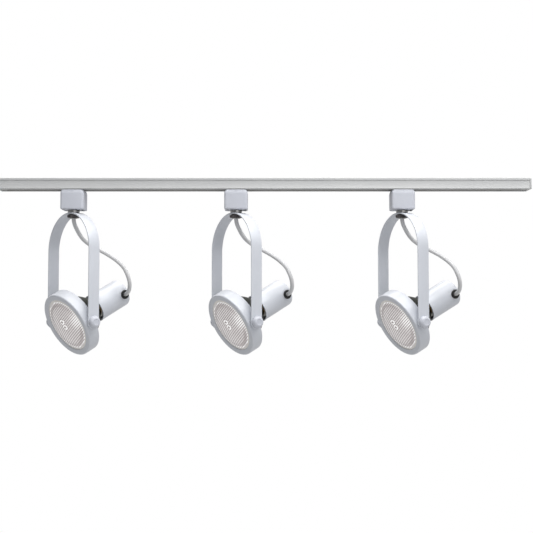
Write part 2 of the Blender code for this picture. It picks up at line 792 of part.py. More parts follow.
def grommet(number, tilt):
    """A rubber bush in the housing's side. Its bore runs along the knob axis's direction."""
    seat = HOUSING_RADIUS + GAP
    inner_wall = HOUSING_RADIUS - HOUSING_WALL
    inner_seat = math.sqrt(inner_wall**2 - (GROMMET_NECK_RADIUS * 1.2) ** 2) - GAP
    face = seat + GROMMET_PROUD
    profile = [
        (GROMMET_BORE_RADIUS, inner_seat - GROMMET_INNER_FLANGE),
        (GROMMET_NECK_RADIUS * 1.2, inner_seat - GROMMET_INNER_FLANGE),
        (GROMMET_NECK_RADIUS * 1.2, inner_seat),
        (GROMMET_NECK_RADIUS, inner_seat),
        (GROMMET_NECK_RADIUS, seat),
        (GROMMET_RADIUS, seat),
        (GROMMET_RADIUS, seat + GROMMET_PROUD * 0.45),
        (GROMMET_RADIUS - GROMMET_PROUD * 0.5, face),
        (GROMMET_BORE_RADIUS, face),
    ]
    piece = turned(profile, 12)
    place_at = (0, 0, grommet_height())
    add_piece(f"cord_grommet_{number}", piece, BLACK_RUBBER, tilt, place_at, (0, math.pi / 2, 0))


def smooth_route(route, count):
    """Points spread evenly along a Catmull-Rom curve through the route."""
    points = [route[0]] + list(route) + [route[-1]]
    fine = []
    for before, start, end, after in zip(points, points[1:], points[2:], points[3:]):
        for share in (step / 12 for step in range(12)):
            square, cube = share**2, share**3
            fine.append(
                0.5
                * (
                    2 * start
                    + (end - before) * share
                    + (2 * before - 5 * start + 4 * end - after) * square
                    + (3 * start - before - 3 * end + after) * cube
                )
            )
    fine.append(route[-1])
    travelled = [0.0]
    for start, end in zip(fine, fine[1:]):
        travelled.append(travelled[-1] + (end - start).length)
    even, index = [], 0
    for number in range(count):
        goal = travelled[-1] * number / (count - 1)
        while index < len(fine) - 2 and travelled[index + 1] < goal:
            index += 1
        step = travelled[index + 1] - travelled[index]
        even.append(fine[index].lerp(fine[index + 1], (goal - travelled[index]) / step))
    return even


def head_cord(number, swivel):
    raised = Vector((0, 0, knob_height()))
    route = [Vector(point) * MM + raised for point in CORD_ROUTE_MM]
    curve = bpy.data.curves.new(f"head_cord_{number}", "CURVE")
    curve.dimensions = "3D"
    curve.bevel_depth = CORD_RADIUS
    curve.bevel_resolution = 2
    curve.use_fill_caps = True
    spline = curve.splines.new("POLY")
    spline.points.add(CORD_POINTS - 1)
    for point, spot in zip(spline.points, smooth_route(route, CORD_POINTS)):
        point.co = (*spot, 1.0)
    curve.materials.append(material_for(curve.name, CORD_PVC))
    place(bpy.data.objects.new(curve.name, curve), swivel)


def light_head(number, head_x, swivel_angle):
    head = add_empty(f"head_{number}", None, (head_x, 0, 0))
    swivel = add_empty(f"swivel_{number}", head, rotation=(0, 0, swivel_angle))
    tilt_turn = (math.pi / 2 + LAMP_TILT, 0, 0)
    tilt = add_empty(f"tilt_{number}", swivel, (0, 0, knob_height()), tilt_turn)

    adapter_body(number, head)
    contact_blade(number, head, "line", -1)
    contact_blade(number, head, "neutral", 1)
    release_lever(number, head)

    swivel_stem(number, swivel)
    stem_retainer(number, swivel)
    lock_nut(number, swivel)
    yoke(number, swivel)
    head_cord(number, swivel)

    gimbal_ring(number, tilt)
    thumb_knob(number, tilt, "left", -1)
    thumb_knob(number, tilt, "right", 1)
    lamp_lens(number, tilt)
    lamp_reflector(number, tilt)
    lamp_cap(number, tilt)
    lampholder(number, tilt)
    socket_housing(number, tilt)
    grommet(number, tilt)


def main():
    clear_scene()
    track_channel()
    track_insulator()
    track_conductor("conductor_line", -1)
    track_conductor("conductor_neutral", 1)
    end_cap("end_cap_left", -1)
    end_cap("end_cap_right", 1)
    for index, (head_x, swivel_angle) in enumerate(zip(HEAD_X, HEAD_SWIVEL)):
        light_head(index + 1, head_x, swivel_angle)


main()
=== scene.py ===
import json
import math

import bmesh
import bpy
from mathutils import Matrix, Vector


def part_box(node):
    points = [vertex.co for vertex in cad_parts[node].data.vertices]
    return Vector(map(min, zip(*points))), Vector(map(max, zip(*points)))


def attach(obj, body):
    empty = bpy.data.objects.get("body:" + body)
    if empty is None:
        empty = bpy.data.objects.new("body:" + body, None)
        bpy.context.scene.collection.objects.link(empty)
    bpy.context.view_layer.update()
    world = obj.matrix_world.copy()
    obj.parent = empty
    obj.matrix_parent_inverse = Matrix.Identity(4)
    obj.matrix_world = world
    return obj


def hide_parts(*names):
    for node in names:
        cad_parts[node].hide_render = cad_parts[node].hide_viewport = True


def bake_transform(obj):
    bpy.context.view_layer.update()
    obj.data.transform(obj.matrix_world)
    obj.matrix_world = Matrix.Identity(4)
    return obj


# Shapes are drawn in millimetres and brought to metres when a piece is finished
mm = 0.001
gap = 0.3  # between pieces that meet
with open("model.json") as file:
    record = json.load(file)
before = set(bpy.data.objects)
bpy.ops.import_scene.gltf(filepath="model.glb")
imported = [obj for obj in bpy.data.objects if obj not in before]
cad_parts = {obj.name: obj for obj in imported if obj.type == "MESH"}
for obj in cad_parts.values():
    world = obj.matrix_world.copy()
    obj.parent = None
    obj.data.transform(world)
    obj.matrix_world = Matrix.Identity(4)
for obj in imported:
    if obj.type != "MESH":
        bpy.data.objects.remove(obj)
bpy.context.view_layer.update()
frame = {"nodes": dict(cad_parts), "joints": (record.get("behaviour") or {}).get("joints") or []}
joints = {joint["name"]: joint for joint in frame["joints"]}
print("frame loaded:", len(frame["nodes"]), "nodes")

lampTilt = math.radians(27.9)  # how far the lamps point below the horizontal at rest
heads = []
for number in (1, 2, 3):
    nod = joints[f"lamp_tilt_{number}"]
    pivot = Vector(nod["pos_m"])
    turn = Matrix.Rotation(math.atan2(nod["axis"][1], nod["axis"][0]), 4, "Z")
    slide = Matrix.Translation((pivot.x, 0, 0))
    heads.append(
        {
            "number": number, "slide": slide, "swivel": slide @ turn,
            "tilt": Matrix.Translation(pivot) @ turn @ Matrix.Rotation(math.pi / 2 + lampTilt, 4, "X"),
            "knobHeight": pivot.z / mm,
        }
    )
knobHeight = heads[0]["knobHeight"]


# The camera stands in front of the middle of the track, a little below the heads' arches
cameraSetup = {
    "distance": 1.544, "height": -0.235, "lens": 60.8, "pitch": 3.1, "across": 0.0048, "up": 0.0008,
}
cameraData = bpy.data.cameras.new("camera")
cameraData.lens = cameraSetup["lens"]
cameraData.shift_x = cameraSetup["across"]
cameraData.shift_y = cameraSetup["up"]
cameraData.clip_start = 0.05
camera = bpy.data.objects.new("camera", cameraData)
camera.location = (0, -cameraSetup["distance"], cameraSetup["height"])
camera.rotation_euler = (math.radians(90 + cameraSetup["pitch"]), 0, 0)
bpy.context.scene.collection.objects.link(camera)
bpy.context.scene.camera = camera


# Helpers for every piece
def finished(bm):
    # Closes the seams, turns the faces outwards and gives the shape its real size
    bmesh.ops.remove_doubles(bm, verts=bm.verts, dist=1e-4)
    bmesh.ops.recalc_face_normals(bm, faces=bm.faces)
    bmesh.ops.scale(bm, vec=(mm, mm, mm), verts=bm.verts)
    mesh = bpy.data.meshes.new("shape")
    bm.to_mesh(mesh)
    bm.free()
    return mesh


def combined(base, *tools):
    # Joins shapes on or cuts them away; each tool is an operation and a shape
    made = []
    for operation, bm in ((None, base), *tools):
        made.append(bpy.data.objects.new("shape", finished(bm)))
        bpy.context.scene.collection.objects.link(made[-1])
        if operation:
            modifier = made[0].modifiers.new(operation, "BOOLEAN")
            modifier.operation = operation
            modifier.solver = "EXACT"
            modifier.object = made[-1]
    graph = bpy.context.evaluated_depsgraph_get()
    result = bpy.data.meshes.new_from_object(made[0].evaluated_get(graph))
    for obj in made:
        bpy.data.objects.remove(obj)
    return result


def addPiece(name, mesh, place, look, body, nodes=(), sharp=32):
    mesh = mesh.copy()
    mesh.name = name
    mesh.transform(place)
    mesh.materials.clear()
    mesh.materials.append(look)
    mesh.shade_smooth()
    mesh.set_sharp_from_angle(angle=math.radians(sharp))
    piece = bpy.data.objects.new(name, mesh)
    bpy.context.scene.collection.objects.link(piece)
    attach(piece, body)
    if nodes:
        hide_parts(*nodes)
    return piece


def boxOf(node, head=None):
    # A CAD node's corners in millimetres, across the track's own frame or one head's
    low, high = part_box(node)
    offset = Vector((head["slide"].translation.x if head else 0, 0, 0))
    return (low - offset) / mm, (high - offset) / mm


def block(low, high, edge=0.0, segments=3):
    low, high = Vector(low), Vector(high)
    bm = bmesh.new()
    bmesh.ops.create_cube(bm, size=1.0)
    bmesh.ops.scale(bm, vec=high - low, verts=bm.verts)
    bmesh.ops.translate(bm, vec=(low + high) / 2, verts=bm.verts)
    if edge:
        bmesh.ops.bevel(
            bm, geom=bm.edges[:], offset=edge, segments=segments, profile=0.5, affect="EDGES", material=-1
        )
    return bm


def turned(profile, steps=64):
    # Spins (radius, height) points about Z; a ring's profile closes on itself
    bm = bmesh.new()
    points = [bm.verts.new((radius, 0, height)) for radius, height in profile]
    edges = [bm.edges.new(pair) for pair in zip(points, points[1:])]
    if profile[0][0] > 0:
        edges.append(bm.edges.new((points[-1], points[0])))
    around = {"cent": (0, 0, 0), "axis": (0, 0, 1), "angle": 2 * math.pi}
    bmesh.ops.spin(bm, geom=points + edges, steps=steps, use_merge=True, **around)
    bmesh.ops.remove_doubles(bm, verts=bm.verts, dist=1e-4)
    bmesh.ops.recalc_face_normals(bm, faces=bm.faces)
    return bm


def rod(radius, low, high, steps=48):
    return turned([(0, low), (radius, low), (radius, high), (0, high)], steps)


def soften(bm, offset, segments=3, angle=40, where=None):
    # Rounds the edges that are sharper than the angle, all of them or those that "where" picks
    bm.normal_update()
    chosen = [
        edge
        for edge in bm.edges
        if len(edge.link_faces) == 2
        and edge.calc_face_angle(0) > math.radians(angle)
        and (where is None or where((edge.verts[0].co + edge.verts[1].co) / 2))
    ]
    bmesh.ops.bevel(
        bm, geom=chosen, offset=offset, segments=segments, profile=0.5, affect="EDGES", clamp_overlap=True,
        material=-1,
    )
    return bm


def moved(bm, matrix):
    bmesh.ops.transform(bm, matrix=matrix, verts=bm.verts)
    return bm


def alongKnob(side):
    # Lays a shape that was drawn along Z on the knob axis, to one side
    return Matrix.Rotation(side * math.pi / 2, 4, "Y")


def partsOf(geometry, kind):
    return [part for part in geometry if isinstance(part, kind)]


def drawnOut(bm, face, way):
    # Pulls a face out along a vector, and gives the new face and its corners
    drawn = bmesh.ops.extrude_face_region(bm, geom=[face])["geom"]
    verts = partsOf(drawn, bmesh.types.BMVert)
    bmesh.ops.translate(bm, vec=way, verts=verts)
    return partsOf(drawn, bmesh.types.BMFace)[0], verts


def slab(length, depth, corner, levels):
    # A rounded rectangle drawn up through (inset, height) levels
    bm = bmesh.new()
    bmesh.ops.create_grid(bm, x_segments=1, y_segments=1, size=0.5)
    bmesh.ops.scale(bm, vec=(length, depth, 1), verts=bm.verts)
    bmesh.ops.bevel(
        bm, geom=bm.verts[:], offset=corner, segments=6, profile=0.5, affect="VERTICES", material=-1
    )
    inset, height = levels[0]
    first = ((length - 2 * inset) / length, (depth - 2 * inset) / depth, 1)
    bmesh.ops.scale(bm, vec=first, verts=bm.verts)
    bmesh.ops.translate(bm, vec=(0, 0, height), verts=bm.verts)
    face = bm.faces[:][0]
    for nextInset, nextHeight in levels[1:]:
        face, verts = drawnOut(bm, face, (0, 0, nextHeight - height))
        narrower = (
            (length - 2 * nextInset) / (length - 2 * inset), (depth - 2 * nextInset) / (depth - 2 * inset),
            1,
        )
        bmesh.ops.scale(bm, vec=narrower, verts=verts)
        inset, height = nextInset, nextHeight
    return bm


# Finishes
def addNode(tree, kind, sockets, **settings):
    # A socket takes a value or another node's output
    node = tree.nodes.new("ShaderNode" + kind)
    for setting, value in settings.items():
        setattr(node, setting, value)
    for socket, value in sockets.items():
        if isinstance(value, bpy.types.NodeSocket):
            tree.links.new(value, node.inputs[socket])
        else:
            node.inputs[socket].default_value = value
    return node


def newGroup(name, inputs, outputs):
    group = bpy.data.node_groups.new(name, "ShaderNodeTree")
    for label, value in inputs.items():
        kind = "NodeSocketFloat" if isinstance(value, float) else "NodeSocketVector"
        socket = group.interface.new_socket(label, in_out="INPUT", socket_type=kind)
        if value is not None:
            socket.default_value = value
    for label in outputs:
        group.interface.new_socket(label, in_out="OUTPUT", socket_type="NodeSocketFloat")
    given, result = group.nodes.new("NodeGroupInput"), group.nodes.new("NodeGroupOutput")
    return group, given.outputs, result.inputs


def grainGroup():
    # Fine surface grain, with slow mottling under it
    inputs = {"Vector": None, "Grain Scale": 900.0, "Mottle Scale": 30.0, "Stretch": (1, 1, 1)}
    group, given, result = newGroup("surfaceGrain", inputs, ("Height", "Mottle"))
    stretch = addNode(group, "VectorMath", {0: given["Vector"], 1: given["Stretch"]}, operation="MULTIPLY")
    fine = {"Vector": stretch.outputs[0], "Scale": given["Grain Scale"], "Detail": 2.0}
    slow = {"Vector": given["Vector"], "Scale": given["Mottle Scale"], "Detail": 5.0, "Roughness": 0.6}
    grainNoise, mottleNoise = addNode(group, "TexNoise", fine), addNode(group, "TexNoise", slow)
    spread = {"Value": mottleNoise.outputs["Fac"], "From Min": 0.35, "From Max": 0.65}
    group.links.new(grainNoise.outputs["Fac"], result["Height"])
    group.links.new(addNode(group, "MapRange", spread).outputs["Result"], result["Mottle"])
    return group


def wearGroup():
    # Worn edges, and dust where it can settle
    inputs = {"Vector": None, "Edge Radius": 0.0006, "Edge Amount": 0.5, "Dust Amount": 0.3}
    group, given, result = newGroup("edgesAndDust", inputs, ("Edge", "Dust"))

    def product(first, second):
        return addNode(group, "Math", {0: first, 1: second}, operation="MULTIPLY").outputs[0]

    def ranged(value, low, high):
        span = {"Value": value, "From Min": low, "From Max": high}
        return addNode(group, "MapRange", span).outputs["Result"]

    def noise(scale, detail):
        look = {"Vector": given["Vector"], "Scale": scale, "Detail": detail}
        return addNode(group, "TexNoise", look).outputs["Fac"]

    rounded = addNode(group, "Bevel", {"Radius": given["Edge Radius"]}, samples=4).outputs["Normal"]
    surface = addNode(group, "NewGeometry", {}).outputs["Normal"]
    match = addNode(group, "VectorMath", {0: rounded, 1: surface}, operation="DOT_PRODUCT").outputs["Value"]
    edge = product(ranged(match, 1.0, 0.82), ranged(noise(160.0, 4.0), 0.42, 0.62))
    upward = addNode(group, "SeparateXYZ", {0: surface}).outputs["Z"]
    dust = product(ranged(upward, 0.25, 1.0), noise(55.0, 6.0))
    group.links.new(product(edge, given["Edge Amount"]), result["Edge"])
    group.links.new(product(dust, given["Dust Amount"]), result["Dust"])
    return group


grain, wear = grainGroup(), wearGroup()


def mixColour(tree, share, first, second):
    # Colours may be values or sockets
    colours = [(*colour, 1.0) if isinstance(colour, tuple) else colour for colour in (first, second)]
    return addNode(tree, "Mix", {0: share, 6: colours[0], 7: colours[1]}, data_type="RGBA").outputs[2]


def newLook(name):
    material = bpy.data.materials.new(name)
    material.use_nodes = True
    tree = material.node_tree
    return material, tree, tree.nodes["Principled BSDF"]


def grainOn(tree, grainScale, mottleScale, stretch=(1, 1, 1)):
    place = addNode(tree, "TexCoord", {}).outputs["Object"]
    scales = {"Vector": place, "Grain Scale": grainScale, "Mottle Scale": mottleScale, "Stretch": stretch}
    return addNode(tree, "Group", scales, node_tree=grain).outputs, place


def glossAndBump(tree, mottle, roughness, height, strength, distance):
    # Varying gloss and a fine bump; its distance is in millimetres
    shader = tree.nodes["Principled BSDF"]
    gloss = addNode(tree, "MapRange", {"Value": mottle, "To Min": roughness[0], "To Max": roughness[1]})
    bump = addNode(tree, "Bump", {"Height": height, "Strength": strength, "Distance": distance * mm})
    tree.links.new(gloss.outputs["Result"], shader.inputs["Roughness"])
    tree.links.new(bump.outputs["Normal"], shader.inputs["Normal"])


plainDust = (0.62, 0.6, 0.57)


def finish(name, look):
    # The common build: two tones, edges, dust, varying gloss and a fine bump
    material, tree, shader = newLook(name)
    surface, place = grainOn(tree, look["grain"], look["mottle"], look.get("stretch", (1, 1, 1)))
    amounts = {
        "Vector": place, "Edge Radius": 0.0006, "Edge Amount": look.get("edgeAmount", 0.4),
        "Dust Amount": look.get("dustAmount", 0.25),
    }
    age = addNode(tree, "Group", amounts, node_tree=wear).outputs
    colour = mixColour(tree, surface["Mottle"], look["colour"], look["tone"])
    colour = mixColour(tree, age["Edge"], colour, look["edge"])
    colour = mixColour(tree, age["Dust"], colour, plainDust)
    tree.links.new(colour, shader.inputs["Base Color"])
    strength = look.get("bumpStrength", 0.4)
    glossAndBump(tree, surface["Mottle"], look["roughness"], surface["Height"], strength, look["bump"])
    for socket, value in look.get("sockets", {}).items():
        shader.inputs[socket].default_value = value
    return material


finishes = {
    "trackEnamel": {
        "colour": (0.538, 0.543, 0.543), "tone": (0.561, 0.565, 0.561), "edge": (0.621, 0.621, 0.621),
        "roughness": (0.36, 0.46), "grain": 1500.0, "mottle": 22.0, "stretch": (0.05, 1, 1), "bump": 0.02,
        "edgeAmount": 0.12, "sockets": {"Coat Weight": 0.15, "Coat Roughness": 0.3},
    },
    "whiteEnamel": {
        "colour": (0.632, 0.654, 0.704), "tone": (0.658, 0.68, 0.727), "edge": (0.748, 0.757, 0.774),
        "roughness": (0.3, 0.42), "grain": 1100.0, "mottle": 26.0, "bump": 0.035,
        "sockets": {"Coat Weight": 0.25, "Coat Roughness": 0.22},
    },
    "mouldedPlastic": {
        "colour": (0.588, 0.605, 0.664), "tone": (0.614, 0.631, 0.686), "edge": (0.696, 0.705, 0.731),
        "roughness": (0.42, 0.55), "grain": 2600.0, "mottle": 40.0, "bump": 0.03, "bumpStrength": 0.7,
    },
    "greyPlastic": {
        "colour": (0.10, 0.12, 0.14), "tone": (0.13, 0.15, 0.17), "edge": (0.26, 0.28, 0.3),
        "roughness": (0.4, 0.55), "grain": 2600.0, "mottle": 40.0, "bump": 0.03, "bumpStrength": 0.7,
    },
    "liningVinyl": {
        "colour": (0.34, 0.34, 0.32), "tone": (0.38, 0.38, 0.35), "edge": (0.45, 0.45, 0.42),
        "roughness": (0.5, 0.62), "grain": 1200.0, "mottle": 25.0, "stretch": (0.03, 1, 1), "bump": 0.04,
    },
    "stripCopper": {
        "colour": (0.72, 0.36, 0.21), "tone": (0.50, 0.24, 0.15), "edge": (0.85, 0.5, 0.32),
        "roughness": (0.22, 0.42), "grain": 3000.0, "mottle": 60.0, "stretch": (0.02, 1, 1), "bump": 0.02,
        "sockets": {"Metallic": 1.0},
    },
    "zincPlate": {
        "colour": (0.34, 0.34, 0.33), "tone": (0.44, 0.43, 0.41), "edge": (0.66, 0.65, 0.62),
        "roughness": (0.22, 0.4), "grain": 1800.0, "mottle": 110.0, "bump": 0.03, "edgeAmount": 0.8,
        "sockets": {"Metallic": 1.0},
    },
    "capBrass": {
        "colour": (0.78, 0.58, 0.27), "tone": (0.62, 0.44, 0.2), "edge": (0.88, 0.7, 0.4),
        "roughness": (0.22, 0.38), "grain": 2200.0, "mottle": 90.0, "bump": 0.02,
        "sockets": {"Metallic": 1.0},
    },
    "lampShell": {
        "colour": (0.006, 0.007, 0.005), "tone": (0.022, 0.024, 0.018), "edge": (0.07, 0.07, 0.06),
        "roughness": (0.3, 0.42), "grain": 700.0, "mottle": 45.0, "bump": 0.05, "dustAmount": 0.02,
        "sockets": {"Specular IOR Level": 0.12},
    },
    "porcelain": {
        "colour": (0.84, 0.82, 0.76), "tone": (0.88, 0.86, 0.81), "edge": (0.7, 0.66, 0.6),
        "roughness": (0.14, 0.26), "grain": 500.0, "mottle": 70.0, "bump": 0.06,
        "sockets": {"Coat Weight": 0.5, "Coat Roughness": 0.08},
    },
    "lensRim": {
        "colour": (0.93, 0.89, 0.84), "tone": (0.97, 0.94, 0.9), "edge": (1.0, 0.99, 0.97),
        "roughness": (0.08, 0.16), "grain": 400.0, "mottle": 60.0, "bump": 0.05, "dustAmount": 0.05,
        "sockets": {"Coat Weight": 0.7, "Coat Roughness": 0.05},
    },
    # Painted shade: near-black steel for the lock nut, standing for the shadow under the yoke's arch
    "steelPaintedShade": {
        "colour": (0.055, 0.05, 0.05), "tone": (0.09, 0.08, 0.08), "edge": (0.45, 0.42, 0.4),
        "roughness": (0.3, 0.45), "grain": 1800.0, "mottle": 110.0, "bump": 0.03, "edgeAmount": 0.7,
        "sockets": {"Metallic": 0.7},
    },
    "blackRubber": {
        "colour": (0.008, 0.008, 0.009), "tone": (0.016, 0.016, 0.017), "edge": (0.05, 0.05, 0.05),
        "roughness": (0.55, 0.75), "grain": 2400.0, "mottle": 120.0, "bump": 0.05, "dustAmount": 0.06,
    },
}
looks = {name: finish(name, look) for name, look in finishes.items()}


def cordSheathLook(shape):
    # A round vinyl sheath with the faint lengthwise draw lines of its extrusion
    material, tree, shader = newLook("cordSheath")
    uv = addNode(tree, "UVMap", {}, uv_map=shape["uvName"]).outputs["UV"]
    stretch = addNode(tree, "Mapping", {"Vector": uv, "Scale": (2.0, 40.0, 1.0)}).outputs["Vector"]
    lines = addNode(tree, "TexNoise", {"Vector": stretch, "Scale": 1.6, "Detail": 3.0}).outputs["Fac"]
    scuffs = grainOn(tree, 1400.0, 60.0)[0]["Mottle"]
    colour = mixColour(tree, lines, shape["dark"], shape["light"])
    tree.links.new(mixColour(tree, scuffs, colour, shape["scuff"]), shader.inputs["Base Color"])
    glossAndBump(tree, scuffs, (0.36, 0.52), lines, 0.5, 0.06)
    return material


# Leads: each goes from its stem to the grommet in its housing
cordShape = {
    "radius": 3.5,
    "points": 140,
    "sides": 4,  # rounds of the curve's bevel; 4 makes 12 sides
    "uvName": "UVMap",
    "dark": (0.60, 0.60, 0.61),
    "light": (0.76, 0.76, 0.77),
    "scuff": (0.70, 0.70, 0.70),
    "stemFoot": 177.2,
    # The route, in the swivelling yoke's frame, with heights from the knob axis
    "route": (
        (0.0, 0.0, 196.0), (0.0, 0.0, 186.0), (0.0, 0.0, 175.5), (0.4, 1.9, 167.2), (1.3, 6.2, 158.2),
        (3.1, 10.9, 149.6), (5.7, 16.7, 141.7), (9.5, 24.7, 134.5), (15.0, 34.2, 128.2),
        (22.0, 44.0, 121.8), (30.5, 55.0, 113.8), (38.7, 65.5, 104.1), (46.3, 72.8, 93.4),
        (50.2, 76.9, 82.6), (50.9, 80.0, 74.4), (49.5, 82.7, 67.1), (46.2, 85.2, 60.7), (41.6, 87.3, 55.4),
        (36.1, 88.9, 51.5), (30.5, 89.9, 49.1), (25.0, 90.4, 47.9), (20.0, 90.4, 47.6), (15.5, 90.4, 47.4),
    ),
}


def smoothRoute(route, count):
    # Even steps along a smooth curve through the route's points
    points = [route[0]] + route + [route[-1]]
    fine = []
    for before, start, end, after in zip(points, points[1:], points[2:], points[3:]):
        for step in range(24):
            share = step / 24
            fine.append(
                0.5
                * (
                    2 * start
                    + (end - before) * share
                    + (2 * before - 5 * start + 4 * end - after) * share**2
                    + (3 * start - before - 3 * end + after) * share**3
                )
            )
    fine.append(route[-1])
    travelled = [0.0]
    for start, end in zip(fine, fine[1:]):
        travelled.append(travelled[-1] + (end - start).length)
    even, index = [], 0
    for number in range(count):
        goal = travelled[-1] * number / (count - 1)
        while index < len(fine) - 2 and travelled[index + 1] < goal:
            index += 1
        gap = travelled[index + 1] - travelled[index]
        even.append(fine[index].lerp(fine[index + 1], (goal - travelled[index]) / gap))
    return even


def headCord(head, look):
    raised = Vector((0, 0, knobHeight))
    route = [(Vector(point) + raised) * mm for point in cordShape["route"]]
    path = [head["swivel"] @ spot for spot in smoothRoute(route, cordShape["points"])]
    curve = bpy.data.curves.new("lead", "CURVE")
    curve.dimensions = "3D"
    curve.bevel_depth = cordShape["radius"] * mm
    curve.bevel_resolution = cordShape["sides"]
    curve.use_fill_caps = True
    spline = curve.splines.new("POLY")
    spline.points.add(len(path) - 1)
    for point, spot in zip(spline.points, path):
        point.co = (*spot, 1.0)
    scratch = bpy.data.objects.new("lead", curve)
    bpy.context.scene.collection.objects.link(scratch)
    graph = bpy.context.evaluated_depsgraph_get()
    mesh = bpy.data.meshes.new_from_object(scratch.evaluated_get(graph))
    bpy.data.objects.remove(scratch)
    shell = bmesh.new()
    shell.from_mesh(mesh)
    bmesh.ops.remove_doubles(shell, verts=shell.verts, dist=1e-7)
    bmesh.ops.recalc_face_normals(shell, faces=shell.faces)
    shell.to_mesh(mesh)
    shell.free()
    number = head["number"]
    mesh.name = f"headCord_{number}"
    mesh.materials.clear()
    mesh.materials.append(look)
    mesh.shade_smooth()
    cord = bpy.data.objects.new(mesh.name, mesh)
    bpy.context.scene.collection.objects.link(cord)
    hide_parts(f"head_cord_{number}")
    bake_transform(cord)
    length = sum((end - start).length for start, end in zip(path, path[1:]))
    return length


sheath = cordSheathLook(cordShape)
for head in heads:
    leadLength = headCord(head, sheath)
print("leads made, each", round(leadLength, 4), "m long")


# The track, in its own frame: x along it, z up to the ceiling
channelShape = {
    "wall": 1.5,
    "slot": 17.0,
    "corner": 0.45,
    "lipCorner": 0.4,
    "grooveTop": 3.5,
    "grooveFoot": 4.9,
    "grooveDepth": 1.05,
    "faceSet": 0.7,  # how far the main face stands back from the bead along its foot
    "beadTop": 16.2,
    "beadSlope": 1.3,
    "beadFoot": 18.0,
    "footSet": 0.55,
    "screwHole": 2.3,
    "screwX": 304.8,
}


def trackChannel(shape):
    low, high = boxOf("track_channel")
    half, foot, wall, slotSide = high.y, low.z, shape["wall"], shape["slot"] / 2
    face, groove = half - shape["faceSet"], half - shape["grooveDepth"]
    footSide, beadFoot = half - shape["footSet"], -shape["beadFoot"]
    side = [
        (half, 0), (half, -shape["grooveTop"]), (groove, -shape["grooveTop"] - 0.35),
        (groove, -shape["grooveFoot"] + 0.35), (face, -shape["grooveFoot"]), (face, -shape["beadTop"]),
        (half, -shape["beadTop"] - shape["beadSlope"]), (half, beadFoot), (footSide, beadFoot - 0.3),
        (footSide, foot), (slotSide, foot), (slotSide, foot + wall), (half - wall, foot + wall),
        (half - wall, -wall),
    ]
    bm = bmesh.new()
    outline = side + [(-y, z) for y, z in reversed(side)]
    section = bm.faces.new([bm.verts.new((low.x, y, z)) for y, z in outline])
    drawnOut(bm, section, (high.x - low.x, 0, 0))
    bmesh.ops.recalc_face_normals(bm, faces=bm.faces)

    def outerCorner(spot):
        high = abs(abs(spot.y) - half) < 0.01 and spot.z > -0.1
        deep = abs(abs(spot.y) - footSide) < 0.01 and spot.z < foot + 0.1
        return abs(spot.x) < 1 and (high or deep)

    def lipCorner(spot):
        return abs(spot.x) < 1 and abs(abs(spot.y) - slotSide) < 0.01

    soften(bm, shape["corner"], 4, where=outerCorner)
    soften(bm, shape["lipCorner"], 2, where=lipCorner)
    holes = [
        ("DIFFERENCE", moved(rod(shape["screwHole"], -3, 1), Matrix.Translation((x, 0, 0))))
        for x in (-shape["screwX"], shape["screwX"])
    ]
    mesh = combined(bm, *holes)
    addPiece(
        "trackChannel", mesh, Matrix(), looks["trackEnamel"], "track", ["track_channel"]
    )


trackChannel(channelShape)

endCapShape = {
    "thickness": 3.0, "edge": 1.1, "panelInset": 2.6, "panelDepth": 0.5, "plugLength": 8.0,
    "knockoutRadius": 4.6, "knockoutLine": 0.5, "knockoutDepth": 0.3, "panelLine": 0.35, "plugWall": 2.0,
}


def endCap(name, node, side, shape):
    # The plate shuts the channel's end, and its hollow plug grips inside it
    low, high = boxOf(node)
    outer = high.x if side > 0 else -low.x
    plateStart = outer - shape["thickness"]
    plate = block((plateStart, low.y, low.z), (outer, high.y, high.z), shape["edge"], 4)
    plate.faces.ensure_lookup_table()
    front = max(plate.faces, key=lambda face: face.calc_center_median().x)
    bmesh.ops.inset_region(plate, faces=[front], thickness=shape["panelInset"], depth=0)
    bmesh.ops.inset_region(plate, faces=[front], thickness=shape["panelLine"], depth=-shape["panelDepth"])
    ring = turned(
        [
            (shape["knockoutRadius"], -1), (shape["knockoutRadius"] + shape["knockoutLine"], -1),
            (shape["knockoutRadius"] + shape["knockoutLine"], 1), (shape["knockoutRadius"], 1),
        ],
        48,
    )
    bottom = outer - shape["panelDepth"] - shape["knockoutDepth"]
    middle = Matrix.Translation((bottom + 1, 0, (low.z + high.z) / 2)) @ Matrix.Rotation(math.pi / 2, 4, "Y")
    wallRoom = channelShape["wall"] + gap
    hollowRoom = wallRoom + shape["plugWall"]
    plug = block(
        (plateStart - shape["plugLength"], low.y + wallRoom, low.z + wallRoom),
        (plateStart + 1, high.y - wallRoom, high.z - wallRoom), 0.6, 2,
    )
    hollow = block(
        (plateStart - shape["plugLength"] - 1, low.y + hollowRoom, low.z + hollowRoom),
        (plateStart - 0.4, high.y - hollowRoom, high.z - hollowRoom), 0.5, 2,
    )
    cuts = [("DIFFERENCE", hollow), ("DIFFERENCE", moved(ring, middle))]
    mesh = combined(plate, ("UNION", plug), *cuts)
    turn = Matrix() if side > 0 else Matrix.Rotation(math.pi, 4, "Z")
    addPiece(name, mesh, turn, looks["trackEnamel"], "track", [node])


endCap("endCapLeft", "end_cap_left", -1, endCapShape)
endCap("endCapRight", "end_cap_right", 1, endCapShape)
print("track made")


